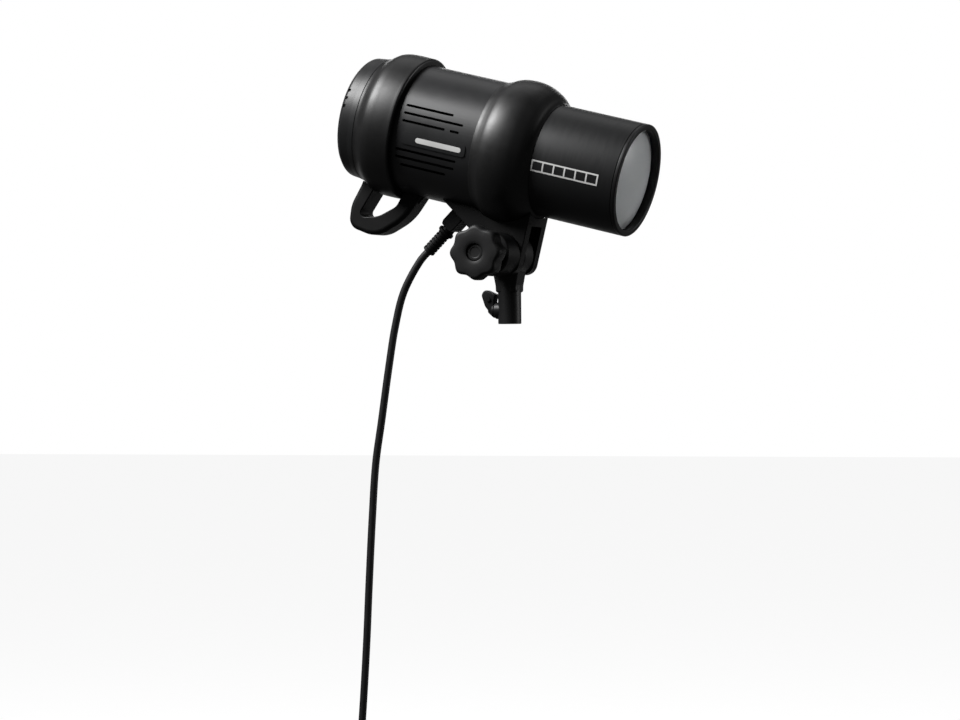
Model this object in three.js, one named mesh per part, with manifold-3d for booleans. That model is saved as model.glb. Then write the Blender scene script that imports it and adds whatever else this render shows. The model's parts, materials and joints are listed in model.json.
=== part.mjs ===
// Monolight strobe: a studio flash head on a tilting stand bracket, with its mains lead.
// Millimetres, +Z up. The origin is the centre of the stand socket's mouth. The head points
// along +X, nose down by REST_TILT, and the tilt axis is parallel to Y.
import * as THREE from 'three';
import { mergeVertices } from 'three/addons/utils/BufferGeometryUtils.js';
import Module from 'manifold-3d';

const wasm = await Module();
wasm.setup();

// ---- driving dimensions ------------------------------------------------------------
const DEG = Math.PI / 180;
const GAP = 0.3;                 // between pieces that touch

const REST_TILT = 14.1;          // degrees, nose down
const PIVOT_Z = 62;              // tilt axis above the socket's mouth
const AXIS_ABOVE_PIVOT = 90.6;   // optical axis above the tilt axis
const PIVOT_X = 16;              // tilt axis ahead of the head's own zero

const HOUSING_R = 59;
const HOUSING_WALL = 2.2;
const HOUSING_X = [-127, 14];
const CAP_R = 57;
const CAP_X = [-153, -134.9];    // rear face, seam with the rear bumper
const PANEL_R = 46.2;
const PANEL_X = [-152.6, -150.2];
const BUMPER_R = 65.7;
const TUBE_R = 50.5;
const TUBE_WALL = 3;
const TUBE_X = [17.6, 117];
const BULKHEAD_X = [14.3, 17.3];
const CHASSIS_END = 12;          // front edge of the chassis plate and the power board
const GLASS_X = 122;

const LUG_HALF = 22;             // half width of the tilt lug
const LUG_R = 20;                // its round rear end about the tilt axis
const LUG_FRONT = 20.3;          // its front edge, ahead of the tilt axis
const LUG_DROP = 16;             // its flat foot, below the tilt axis
const LUG_CORNER = 11;
const BOSS_R = 20;               // boss between the knob and the lug
const BOSS_OUT = 48;             // its outer face
const CHEEK_Y = 11.8;            // inner face of each cheek
const INLET_ANGLE = 58;          // the inlet faces this far below straight back
const INLET_OFFSET = 5;          // slanted face to tilt axis
const INLET_ALONG = -58.4;       // inlet centre, along the slanted face
const INLET_PLATE = [12.5, 10];  // half sizes across and along the face
const INLET_BODY = [10.6, 7.6];
const INLET_DEPTH = 4;           // of its body, in the lug

const BOLT_R = 5;
const BOLT_BORE_R = 5.35;
const TONGUE_HALF = 9.5;
const TONGUE_R = 20;
const TONGUE_SWEEP = 24.6;       // room round the tongue between the cheeks
const SOCKET_R = 10.4;
const SOCKET_BORE_R = 8.1;
const SOCKET_DEPTH = 34;
const LOCK_Z = 12;               // lock screw above the socket's mouth
const LOCK_HUB_X = -13;          // outer face of the boss that the lock screw runs in

const KNOB_R = 22.9;
const KNOB_LOBES = 8;
const KNOB_LOBE = 1.4;
const KNOB_Y = [-79.5, -BOSS_OUT - GAP];
const KNOB_GRIP = 19;            // depth of the lobed part

const HANDLE_HALF = 13.5;        // half width of the handle's strap

const CORD_D = 7;
const FLOOR_Z = -770;            // what the lead's spare length lies on
const COIL_R = 42;               // coil radius at the middle of its turns
const COIL_SIDE = 4;             // turns across and turns high
const COIL_X = -296;
const TIE_T = 1.2;
const CORD_ROUTE = [             // X, Z of the hanging stretch, from the connector down
  [-104, 31], [-113, 0], [-120, -38], [-128, -88], [-134, -125], [-138, -174], [-142, -237],
  [-145, -290], [-150, -358], [-156, -422], [-161, -464], [-168, -515], [-178, -570], [-193, -632],
  [-205, -668], [-221, -701], [-243, -727], [-268.4, -741],
];

const ROUND = 32;                // facets of the large turned parts
const SMALL = 16;                // facets of the small ones

// ---- materials ---------------------------------------------------------------------
const paint = (name, color, roughness, metalness) =>
  new THREE.MeshStandardMaterial({ name, color, roughness, metalness });

const housingPaint = paint('housing_paint', 0x2b2c2e, 0.45, 0.3);
const softTouch = paint('soft_touch_rubber', 0x161617, 0.55, 0);
const blackPlastic = paint('black_plastic', 0x131314, 0.6, 0);
const capPlastic = paint('rear_cap_plastic', 0x1f2022, 0.4, 0);
const darkMetal = paint('dark_metal', 0x1a1a1b, 0.4, 0.7);
const brightMetal = paint('bright_metal', 0xb8bbc0, 0.3, 1);
const frosted = paint('frosted_glass', 0xe8ecef, 0.4, 0);
const clearPlastic = paint('clear_window', 0x20262a, 0.1, 0);
const boardGreen = paint('circuit_board', 0x1d4a2c, 0.6, 0);
const capacitorSleeve = paint('capacitor_sleeve', 0x1f2a44, 0.5, 0);
const badgeWhite = paint('badge_white', 0xd8d8d6, 0.5, 0);
const cordPvc = paint('cord_pvc', 0x101011, 0.7, 0);
const washerFibre = paint('washer_fibre', 0x6a5a48, 0.8, 0);
const switchRed = paint('switch_lens', 0x8c1c14, 0.35, 0);

// ---- solids ------------------------------------------------------------------------
/** Turns a closed three.js geometry into a solid with shared vertices and outward faces. */
function solid(geometry) {
  const bare = new THREE.BufferGeometry();
  bare.setAttribute('position', geometry.getAttribute('position').clone());
  if (geometry.index) bare.setIndex(geometry.index.clone());
  const merged = mergeVertices(bare, 1e-4);
  const points = merged.getAttribute('position').array;
  const faces = [];
  const all = merged.index.array;
  for (let i = 0; i < all.length; i += 3) {
    const [a, b, c] = [all[i], all[i + 1], all[i + 2]];
    if (a !== b && b !== c && c !== a) faces.push(a, b, c);
  }
  if (signedVolume(points, faces) < 0) faces.reverse();
  return new wasm.Manifold(new wasm.Mesh({
    numProp: 3,
    vertProperties: new Float32Array(points),
    triVerts: new Uint32Array(faces),
  }));
}

function signedVolume(points, faces) {
  const at = (i) => new THREE.Vector3().fromArray(points, 3 * i);
  let total = 0;
  for (let i = 0; i < faces.length; i += 3) {
    total += at(faces[i]).dot(at(faces[i + 1]).cross(at(faces[i + 2])));
  }
  return total;
}

/** A solid turned about the X, Y or Z axis from its outline [[along, radius], ...]. */
function turned(outline, axis = 'x', facets = ROUND) {
  const points = outline.map(([along, radius]) => new THREE.Vector2(radius, along));
  const onAxis = outline[0][1] === 0 && outline[outline.length - 1][1] === 0;
  if (!onAxis) points.push(points[0].clone());
  const geometry = new THREE.LatheGeometry(points, facets);
  if (axis === 'x') geometry.rotateZ(-90 * DEG);
  if (axis === 'z') geometry.rotateX(90 * DEG);
  return solid(geometry);
}

const rod = (radius, from, to, axis = 'x', facets = SMALL) =>
  turned([[from, 0], [from, radius], [to, radius], [to, 0]], axis, facets);

const tube = (outer, inner, from, to, axis = 'x', facets = ROUND) =>
  turned([[from, inner], [from, outer], [to, outer], [to, inner]], axis, facets);

function block([x0, x1], [y0, y1], [z0, z1]) {
  const geometry = new THREE.BoxGeometry(x1 - x0, y1 - y0, z1 - z0);
  geometry.translate((x0 + x1) / 2, (y0 + y1) / 2, (z0 + z1) / 2);
  return solid(geometry);
}

/** A closed shape through corners [[x, z, radius], ...], each rounded by its own radius. */
function rounded(corners) {
  const shape = new THREE.Shape();
  corners.forEach(([x, z, radius = 0], i) => {
    const here = new THREE.Vector2(x, z);
    const toward = (corner) => new THREE.Vector2(corner[0], corner[1]).sub(here).normalize();
    const before = toward(corners[(i + corners.length - 1) % corners.length]);
    const after = toward(corners[(i + 1) % corners.length]);
    const half = Math.acos(before.dot(after)) / 2;
    const cut = radius / Math.tan(half);
    const start = here.clone().addScaledVector(before, cut);
    const end = here.clone().addScaledVector(after, cut);
    if (i === 0) shape.moveTo(start.x, start.y);
    else shape.lineTo(start.x, start.y);
    if (radius > 0) shape.quadraticCurveTo(x, z, end.x, end.y);
  });
  shape.closePath();
  return shape;
}

/** A shape drawn in X and Z, extruded along Y. */
function slab(shape, [y0, y1], bevel = 0, curveSegments = 5) {
  const geometry = new THREE.ExtrudeGeometry(shape, {
    depth: y1 - y0 - 2 * bevel,
    bevelEnabled: bevel > 0,
    bevelSize: bevel,
    bevelThickness: bevel,
    bevelOffset: -bevel,
    bevelSegments: 2,
    curveSegments,
  });
  geometry.rotateX(90 * DEG);
  geometry.translate(0, y1 - bevel, 0);
  return solid(geometry);
}

/** A round-section bar of the given section sides along a curve. */
function bar(curve, radius, steps, sides = 8) {
  const section = new THREE.Shape();
  for (let i = 0; i < sides; i += 1) {
    const angle = (2 * Math.PI * i) / sides;
    const [x, y] = [radius * Math.cos(angle), radius * Math.sin(angle)];
    if (i === 0) section.moveTo(x, y);
    else section.lineTo(x, y);
  }
  section.closePath();
  return solid(new THREE.ExtrudeGeometry(section, {
    steps, bevelEnabled: false, extrudePath: curve, curveSegments: 1,
  }));
}

function moved(piece, matrix) {
  return piece.transform(matrix.elements);
}

const shift = (piece, x, y, z) => piece.translate([x, y, z]);

const group = new THREE.Group();
const head = new THREE.Group();
head.position.set(0, 0, PIVOT_Z);
head.rotation.y = REST_TILT * DEG;
const barrel = new THREE.Group();
barrel.position.set(-PIVOT_X, 0, AXIS_ABOVE_PIVOT);
head.add(barrel);
group.add(head);

/** Adds a solid to a group as a named mesh. */
function add(parent, name, piece, material) {
  const { vertProperties, triVerts } = piece.getMesh();
  const geometry = new THREE.BufferGeometry();
  geometry.setAttribute('position', new THREE.BufferAttribute(vertProperties, 3));
  geometry.setIndex(new THREE.BufferAttribute(triVerts, 1));
  geometry.computeVertexNormals();
  const mesh = new THREE.Mesh(geometry, material);
  mesh.name = name;
  parent.add(mesh);
}

// ---- barrel: shells ----------------------------------------------------------------
const REAR_BUMPER = [
  [-134.6, 55], [-134.6, 57.1], [-130, 59.1], [-126, 62.2], [-122, 64.2], [-116, 65.1],
  [-98, 65.1], [-95, 63.4], [-95, 59.3], [-127.3, 59.3], [-127.3, 55],
];
const FRONT_BUMPER = [
  [-17, 59.3], [-17, 59.8], [-11, 61.7], [-6, 64.3], [0, 65.4], [6, BUMPER_R], [14, 65.2],
  [21, 63.2], [27, 60.3], [32, 56.8], [36, 52.6], [38, 51.4], [38, 50.9], [30, 50.9],
  [24, 56.6], [21, 59.3],
];

const NOTCHES = 3;
const NOTCH_PITCH = 7.8;         // degrees up from the barrel's right side

function rearCap() {
  const [rear, seam] = CAP_X;
  const shell = turned([
    [seam, 54.6], [seam, CAP_R], [-141, 55.9], [-150, 54.6], [rear, 51.8],
    [rear, PANEL_R + GAP], [-149.6, PANEL_R + GAP], [-149.6, 51.2], [-141, 53.4],
  ]);
  let cut = shell;
  for (let i = 1; i <= NOTCHES; i += 1) {
    const notch = block([-150.7, -147.7], [-60, -52.8], [-1.5, 1.5]);
    const turn = new THREE.Matrix4().makeRotationX(-i * NOTCH_PITCH * DEG);
    cut = cut.subtract(moved(notch, turn));
  }
  return cut;
}

const SLOTS = [                  // z, from x, to x
  [20.8, -88.5, -41.5], [13.9, -88.5, -29.5], [6.9, -88, -45.5], [6.9, -40.5, -31.5],
  [-18.8, -90, -30], [-25.5, -90, -31.5], [-32, -85, -40],
];
const SLOT_HALF = 1.1;

function housingHalf(side) {
  const inner = HOUSING_R - HOUSING_WALL;
  const ring = tube(HOUSING_R, inner, HOUSING_X[0], HOUSING_X[1]);
  const keep = side > 0 ? [GAP / 2, 70] : [-70, -GAP / 2];
  let half = ring.intersect(block([-140, 40], keep, [-70, 70]));
  const reach = side > 0 ? [30, 70] : [-70, -30];
  for (const [z, from, to] of SLOTS) {
    half = half.subtract(block([from, to], reach, [z - SLOT_HALF, z + SLOT_HALF]));
  }
  return half;
}

function badge(side) {
  const plate = tube(HOUSING_R + GAP + 0.5, HOUSING_R + GAP, -86, -22);
  const window = block([-90, 0], side > 0 ? [30, 70] : [-70, -30], [-13.4, -2.4]);
  return plate.intersect(window);
}

function mountTube() {
  const inner = TUBE_R - TUBE_WALL;
  const [rear, front] = TUBE_X;
  const flange = 3;
  return turned([
    [rear, inner], [rear, 56], [rear + flange, 56], [rear + flange, TUBE_R], [front, TUBE_R],
    [front, inner],
  ]);
}

add(barrel, 'rear_cap', rearCap(), capPlastic);
add(barrel, 'rear_bumper', turned(REAR_BUMPER), softTouch);
add(barrel, 'housing_left', housingHalf(1), housingPaint);
add(barrel, 'housing_right', housingHalf(-1), housingPaint);
add(barrel, 'front_bumper', turned(FRONT_BUMPER), softTouch);
add(barrel, 'badge_left', badge(1), badgeWhite);
add(barrel, 'badge_right', badge(-1), badgeWhite);
add(barrel, 'mount_tube', mountTube(), darkMetal);
add(barrel, 'bulkhead', tube(58.5, 12, BULKHEAD_X[0], BULKHEAD_X[1]), darkMetal);

// ---- barrel: light source ----------------------------------------------------------
const DISH = [[36, 27], [46, 32], [56, 37], [70, 42], [88, 45.2], [104, 46.3]];

function dish() {
  const wall = 0.8;
  const outside = DISH.map(([x, r]) => [x, r + wall]).reverse();
  return turned([...DISH, ...outside]);
}

function frontGlass() {
  const outside = [[0, 0], [-0.8, 15], [-3.4, 30], [-6.4, 40], [-9.6, 46.6]];
  const thick = 2;
  const front = outside.map(([x, r]) => [GLASS_X + x, r]);
  const back = outside.map(([x, r]) => [GLASS_X + x - thick, r]).reverse();
  return turned([...front, ...back]);
}

const FLASH_RING_X = 72;
const FLASH_RING_R = 22;

function flashTube() {
  const points = [];
  const open = 24;                                   // degrees of ring left out at the top
  points.push([34.5, open / 2], [44, open / 2], [56, open / 2], [66, open / 2 + 1]);
  for (let angle = open / 2 + 8; angle <= 360 - open / 2 - 8; angle += 24) {
    points.push([FLASH_RING_X, angle]);
  }
  points.push([66, 360 - open / 2 - 1], [56, 360 - open / 2], [44, 360 - open / 2]);
  points.push([34.5, 360 - open / 2]);
  const curve = new THREE.CatmullRomCurve3(points.map(([x, angle]) => new THREE.Vector3(
    x, FLASH_RING_R * Math.sin(angle * DEG), FLASH_RING_R * Math.cos(angle * DEG),
  )), false, 'centripetal');
  return bar(curve, 3.5, 30);
}

add(barrel, 'retaining_ring', tube(TUBE_R, 45.2, TUBE_X[1] + GAP, 120.6), darkMetal);
add(barrel, 'front_glass', frontGlass(), frosted);
add(barrel, 'glass_gasket', tube(47.2, 44.6, 107.4, 109.8), softTouch);
add(barrel, 'reflector_dish', dish(), brightMetal);
add(barrel, 'tube_base', rod(28, BULKHEAD_X[1] + GAP, 34.2), badgeWhite);
add(barrel, 'flash_tube', flashTube(), frosted);
add(barrel, 'modelling_lamp', turned([
  [34.5, 0], [34.5, 7], [46, 7], [49, 9], [74, 9], [80, 6], [82, 0],
], 'x', SMALL), frosted);

// ---- barrel: inside ----------------------------------------------------------------
const CAPACITOR_R = 17;
const CAPACITOR_X = [-96, -26];
const CAPACITORS = [[-19, -26.5], [19, -26.5], [-19, 10], [19, 10]];       // y, z

add(barrel, 'chassis_plate', block([-100, CHASSIS_END], [-26, 26], [-47.4, -45.4]), brightMetal);
CAPACITORS.forEach(([y, z], i) => {
  const can = shift(rod(CAPACITOR_R, CAPACITOR_X[0], CAPACITOR_X[1]), 0, y, z);
  add(barrel, `capacitor_${i + 1}`, can, capacitorSleeve);
});
add(barrel, 'power_board', block([-98, CHASSIS_END], [-42, 42], [30, 31.6]), boardGreen);
add(barrel, 'control_board', rod(44, -143, -141.4, 'x', ROUND), boardGreen);

const FAN_X = [-126, -110];
const FAN_BLADES = 7;

function fanFrame() {
  const [rear, front] = FAN_X;
  let frame = block(FAN_X, [-30, 30], [-30, 30]).subtract(rod(28, rear - 1, front + 1, 'x', 24));
  frame = frame.add(rod(12, front - 2.5, front));
  for (const angle of [45, 135]) {
    const turn = new THREE.Matrix4().makeRotationX(angle * DEG);
    frame = frame.add(moved(block([front - 2.5, front], [-29, 29], [-1.5, 1.5]), turn));
  }
  return frame;
}

function fanRotor() {
  const [rear, front] = [FAN_X[0] + 1, FAN_X[1] - 3.2];
  let rotor = rod(11.5, rear, front);
  for (let i = 0; i < FAN_BLADES; i += 1) {
    const blade = block([-5, 5], [-3.2, 3.2], [9, 26.5]);
    const pitch = new THREE.Matrix4().makeRotationZ(52 * DEG);
    const place = new THREE.Matrix4().makeTranslation((rear + front) / 2, 0, 0);
    const spin = new THREE.Matrix4().makeRotationX((360 / FAN_BLADES) * i * DEG);
    const thin = new THREE.Matrix4().makeScale(1, 0.28, 1);
    rotor = rotor.add(moved(blade, spin.multiply(place).multiply(pitch).multiply(thin)));
  }
  return rotor;
}

add(barrel, 'fan_frame', fanFrame(), blackPlastic);
add(barrel, 'fan_rotor', fanRotor(), blackPlastic);

// ---- barrel: control panel ---------------------------------------------------------
const DIAL = { y: 0, z: -4, radius: 12, shaft: 3 };
const WINDOW = { y: [-17, 17], z: [14, 32] };
const BUTTON = { width: 9, height: 5.5, travel: 0.8 };
const BUTTON_PLACES = [[-27, 2], [-27, -10], [27, 2], [27, -10]];           // y, z
const SWITCH = { y: [-6.5, 6.5], z: [-41, -30] };
const JACK = { y: 22, z: -28, radius: 4 };
const EYE = { y: 0, z: 39.5, radius: 4.5 };

const grown = ([low, high], by) => [low - by, high + by];

function controlPanel() {
  const [rear, front] = PANEL_X;
  const through = [rear - 5, front + 5];
  let panel = rod(PANEL_R, rear, front, 'x', ROUND);
  panel = panel.subtract(block(through, grown(WINDOW.y, GAP), grown(WINDOW.z, GAP)));
  panel = panel.subtract(shift(rod(DIAL.shaft + GAP, ...through), 0, DIAL.y, DIAL.z));
  for (const [y, z] of BUTTON_PLACES) {
    const wide = grown([y - BUTTON.width / 2, y + BUTTON.width / 2], GAP);
    const high = grown([z - BUTTON.height / 2, z + BUTTON.height / 2], GAP);
    panel = panel.subtract(block(through, wide, high));
  }
  panel = panel.subtract(block(through, grown(SWITCH.y, 1.5), grown(SWITCH.z, 1.5)));
  panel = panel.subtract(shift(rod(JACK.radius + GAP, ...through), 0, JACK.y, JACK.z));
  return panel.subtract(shift(rod(EYE.radius + GAP, ...through), 0, EYE.y, EYE.z));
}

function controlDial() {
  const face = PANEL_X[0] - GAP;
  const skirt = turned([
    [face, 0], [face, DIAL.radius], [face - 9, DIAL.radius - 0.8], [face - 10, DIAL.radius - 2],
    [face - 10, 0],
  ], 'x', SMALL);
  return shift(skirt.add(rod(DIAL.shaft, face - 1, -147.2)), 0, DIAL.y, DIAL.z);
}

function button([y, z]) {
  const outside = PANEL_X[0] - BUTTON.travel - 0.4;
  const wide = [y - BUTTON.width / 2, y + BUTTON.width / 2];
  const high = [z - BUTTON.height / 2, z + BUTTON.height / 2];
  const cap = block([outside, PANEL_X[1] + 0.5], wide, high);
  const foot = block([PANEL_X[1] + GAP, -148.6], grown(wide, 1), grown(high, 1));
  return cap.add(foot);
}

function switchBezel() {
  const [rear, front] = [PANEL_X[0] - 0.8, PANEL_X[1] + 6];
  const outer = block([rear, front], grown(SWITCH.y, 1.2), grown(SWITCH.z, 1.2));
  return outer.subtract(block([rear - 1, front - 1.5], grown(SWITCH.y, 0.1), grown(SWITCH.z, 0.1)));
}

const ROCKER_X = PANEL_X[0] + 1.2;       // rocker's hinge line
const ROCKER_Z = (SWITCH.z[0] + SWITCH.z[1]) / 2;

function powerSwitch() {
  const high = grown(SWITCH.z, -0.6);
  const shape = rounded([
    [ROCKER_X - 3.2, high[0], 0.4], [ROCKER_X - 1.4, ROCKER_Z, 0], [ROCKER_X - 1.0, high[1], 0.4],
    [ROCKER_X + 2.2, ROCKER_Z + 2.4, 0.4], [ROCKER_X + 2.2, ROCKER_Z - 2.4, 0.4],
  ]);
  return slab(shape, grown(SWITCH.y, -0.4));
}

const EYE_OUTLINE = [
  [-147.6, 0], [-147.6, EYE.radius], [-152.9, EYE.radius], [-154.9, EYE.radius * 0.8],
  [-156.1, EYE.radius * 0.4], [-156.4, 0],
];

add(barrel, 'control_panel', controlPanel(), blackPlastic);
add(barrel, 'display_window', block([-153, -149.8], WINDOW.y, WINDOW.z), clearPlastic);
add(barrel, 'dial_encoder', shift(block([-146.9, -143.3], [-7, 7], [-7, 7]), 0, DIAL.y, DIAL.z),
  darkMetal);
add(barrel, 'control_dial', controlDial(), softTouch);
BUTTON_PLACES.forEach((place, i) => {
  add(barrel, `button_${i + 1}`, button(place), softTouch);
});
add(barrel, 'switch_bezel', switchBezel(), blackPlastic);
add(barrel, 'power_switch', powerSwitch(), switchRed);
add(barrel, 'sync_jack', shift(tube(JACK.radius, 1.9, -154, -147.6, 'x', SMALL), 0, JACK.y, JACK.z),
  brightMetal);
add(barrel, 'slave_sensor', shift(turned(EYE_OUTLINE, 'x', SMALL), 0, EYE.y, EYE.z), clearPlastic);

// ---- under the barrel: lug, inlet and handle ----------------------------------------
/** The space that the barrel's shells take, with a gap all round. */
const barrelSpace = turned([
  [-154, 0], [-154, 52.5], [-150.4, 55.1], [-141, 56.5], [-134.8, 57.6], [-130.2, 59.5],
  [-126.3, 62.6], [-122.2, 64.6], [-116, 65.5], [-97.7, 65.5], [-94.7, 63.6],
  [-94.7, HOUSING_R + GAP], [-17.3, HOUSING_R + GAP], [-17.3, 60.1], [-11.3, 62],
  [-6.2, 64.7], [0, 65.8], [6, BUMPER_R + 0.4], [14.2, 65.6], [21.3, 63.6], [27.3, 60.7],
  [32.4, 57.2], [36.4, 53], [38.4, 51.8], [39, TUBE_R + GAP], [130, TUBE_R + GAP], [130, 0],
]);
const PIVOT_DROP = -AXIS_ABOVE_PIVOT;                // tilt axis below the optical axis
const inletOut = [-Math.cos(INLET_ANGLE * DEG), -Math.sin(INLET_ANGLE * DEG)];
const inletAlong = [Math.sin(INLET_ANGLE * DEG), -Math.cos(INLET_ANGLE * DEG)];
/** A point by its distance out of the slanted face's plane through the pivot, and along it. */
const onSlant = (out, along) => [
  PIVOT_X + out * inletOut[0] + along * inletAlong[0],
  PIVOT_DROP + out * inletOut[1] + along * inletAlong[1],
];
/** Places a solid made on its own axes so that +X points out of the slanted face. */
function placedOnSlant(piece, out) {
  const [x, z] = onSlant(out, INLET_ALONG);
  const place = new THREE.Matrix4().makeTranslation(x, 0, z);
  const turn = new THREE.Matrix4().makeRotationY((180 - INLET_ANGLE) * DEG);
  return moved(piece, place.multiply(turn));
}

function mountLug() {
  const shape = new THREE.Shape();
  const meet = Math.sqrt(LUG_R ** 2 - INLET_OFFSET ** 2);
  const notch = onSlant(INLET_OFFSET, -meet);
  const start = Math.atan2(notch[1] - PIVOT_DROP, notch[0] - PIVOT_X);
  const foot = PIVOT_DROP - LUG_DROP;
  const front = PIVOT_X + LUG_FRONT;
  const inside = -40;                                // where the outline closes, in the barrel
  shape.moveTo(...onSlant(INLET_OFFSET, -78));
  shape.lineTo(...notch);
  shape.absarc(PIVOT_X, PIVOT_DROP, LUG_R, start, -Math.PI + Math.asin(LUG_DROP / LUG_R), false);
  shape.lineTo(front - LUG_CORNER, foot);
  shape.quadraticCurveTo(front, foot, front, foot + LUG_CORNER);
  shape.lineTo(front, inside);
  shape.lineTo(inside, inside);
  shape.closePath();
  let lug = slab(shape, [-LUG_HALF, LUG_HALF], 2.5, 10).subtract(barrelSpace);
  const slot = rod(TONGUE_SWEEP, -CHEEK_Y, CHEEK_Y, 'y', ROUND);
  const past = 2 * LUG_FRONT;                        // clear of the front edge
  const cheeks = [-CHEEK_Y, CHEEK_Y];
  const ahead = block([0, past], cheeks, [-14, 30]);
  const below = block([-14, past], cheeks, [-2 * LUG_DROP, 0]);
  const opening = slot.add(ahead).add(below);
  lug = lug.subtract(shift(opening, PIVOT_X, 0, PIVOT_DROP));
  const bore = rod(BOLT_BORE_R, -LUG_HALF - 1, LUG_HALF + 1, 'y');
  lug = lug.subtract(shift(bore, PIVOT_X, 0, PIVOT_DROP));
  const [wide, high] = INLET_BODY.map((half) => half + 0.4);
  const recess = block([-INLET_DEPTH - GAP, 5], [-wide, wide], [-high, high]);
  return lug.subtract(placedOnSlant(recess, INLET_OFFSET));
}

function mainsInlet() {
  const flat = (x, [wide, high]) => block(x, [-wide, wide], [-high, high]);
  const piece = flat([GAP, 1.9], INLET_PLATE).add(flat([-INLET_DEPTH, 1], INLET_BODY));
  return placedOnSlant(piece, INLET_OFFSET).subtract(barrelSpace);
}

const CONNECTOR_OUT = 2.2;               // from the slanted face
const CONNECTOR_LENGTH = 23.8;
const RELIEF_OUT = CONNECTOR_OUT + CONNECTOR_LENGTH + GAP;
const RELIEF_LENGTH = 22.8;

/** The lead's connector: a flat-sided body, a narrow waist and a collar. */
function mainsConnector() {
  const [from, to] = [CONNECTOR_OUT, CONNECTOR_OUT + CONNECTOR_LENGTH];
  const shape = rounded([
    [from, -7, 1.5], [from, 7, 1.5], [from + 13.6, 7, 2], [from + 17, 5.4, 1.5],
    [from + 17, -5.4, 1.5], [from + 13.6, -7, 2],
  ]);
  const body = slab(shape, [-10, 10], 0.8);
  const waist = rod(5.7, from + 15, to - 2);
  const collar = turned([
    [to - 3.4, 0], [to - 3.4, 6.8], [to - 2.6, 7.6], [to - 0.6, 7.6], [to, 6.8], [to, 0],
  ], 'x', SMALL);
  return placedOnSlant(body.add(waist).add(collar), INLET_OFFSET);
}

function strainRelief() {
  const ribs = 5;
  const ribR = 5.9;
  const groove = 0.9;
  const pitch = (RELIEF_LENGTH - 3) / ribs;
  const outline = [[RELIEF_OUT, 0], [RELIEF_OUT, ribR]];
  for (let i = 0; i < ribs; i += 1) {
    const along = RELIEF_OUT + 1.5 + pitch * i;
    outline.push([along, ribR], [along + 0.4, ribR - groove], [along + 1.6, ribR - groove]);
    outline.push([along + 2, ribR]);
  }
  outline.push([RELIEF_OUT + RELIEF_LENGTH - 0.8, ribR - 0.2]);
  outline.push([RELIEF_OUT + RELIEF_LENGTH, ribR - 1], [RELIEF_OUT + RELIEF_LENGTH, 0]);
  return placedOnSlant(turned(outline, 'x', SMALL), INLET_OFFSET);
}

function handle() {
  const outer = rounded([
    [-134, -40, 0], [-136.6, -60, 12], [-142.4, -80, 12], [-140.5, -100, 9], [-111, -104, 16],
    [-86.5, -82, 18], [-75, -55, 0], [-84, -50, 0], [-100, -40, 0],
  ]);
  const hole = rounded([
    [-121, -58, 0], [-132.8, -89.5, 3.5], [-113, -85, 10], [-97, -72, 6], [-93, -58, 0],
    [-96, -48, 0], [-118, -48, 0],
  ]);
  const strap = slab(outer, [-HANDLE_HALF, HANDLE_HALF], 2.5, 6);
  const opening = slab(hole, [-HANDLE_HALF - 1, HANDLE_HALF + 1], 0, 6);
  return strap.subtract(opening).subtract(barrelSpace);
}

add(barrel, 'mount_lug', mountLug(), blackPlastic);
add(barrel, 'mains_inlet', mainsInlet(), blackPlastic);
add(barrel, 'mains_connector', mainsConnector(), blackPlastic);
add(barrel, 'strain_relief', strainRelief(), blackPlastic);
add(barrel, 'handle', handle(), blackPlastic);

// ---- tilt joint --------------------------------------------------------------------
const bolt = new THREE.Group();
bolt.position.set(0, 0, PIVOT_Z);
group.add(bolt);

const HUB_R = 7.3;                       // recessed cap in the knob's face

function knob() {
  const [face, back] = KNOB_Y;
  const shape = new THREE.Shape();
  const steps = KNOB_LOBES * 4;
  for (let i = 0; i < steps; i += 1) {
    const angle = (2 * Math.PI * i) / steps;
    const radius = KNOB_R + KNOB_LOBE * Math.cos(KNOB_LOBES * angle);
    const [x, z] = [radius * Math.cos(angle), radius * Math.sin(angle)];
    if (i === 0) shape.moveTo(x, z);
    else shape.lineTo(x, z);
  }
  shape.closePath();
  const grip = face + KNOB_GRIP;
  const lobes = slab(shape, [face, grip], 2.5);
  const neck = turned([
    [grip - 4, 0], [grip - 4, 20], [grip + 2, 19], [grip + 6, 15.5], [back - 3, 14], [back, 13.4],
    [back, 0],
  ], 'y');
  const bore = rod(BOLT_R + GAP, face + 10, back + 1, 'y');
  return lobes.add(neck).subtract(bore).subtract(rod(HUB_R + GAP, face - 1, face + 4, 'y'));
}

const NUT_R = 9.2;                       // over its corners
const NUT_Y = [LUG_HALF + GAP, LUG_HALF + 8];

function hexNut() {
  const bore = rod(BOLT_BORE_R, NUT_Y[0] - 1, NUT_Y[1] + 1, 'y');
  return rod(NUT_R, NUT_Y[0], NUT_Y[1], 'y', 6).subtract(bore);
}

add(bolt, 'tilt_bolt', rod(BOLT_R, KNOB_Y[0] + 10.3, LUG_HALF + 7, 'y'), darkMetal);
add(bolt, 'tilt_knob', knob(), softTouch);
add(bolt, 'knob_cap', rod(HUB_R, KNOB_Y[0] + 2.4, KNOB_Y[0] + 3.7, 'y'), darkMetal);
add(head, 'knob_boss', tube(BOSS_R, BOLT_BORE_R, -BOSS_OUT, -LUG_HALF - GAP, 'y'), blackPlastic);
add(head, 'tilt_nut', hexNut(), darkMetal);

// ---- stand bracket -----------------------------------------------------------------
const SOCKET_TOP = 39;                   // the solid end above the bore
const LOCK_BOSS_R = 7.5;
const LOCK_SCREW_R = 4;
const LOCK_SCREW_X = [-17.7, -8.6];

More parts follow.
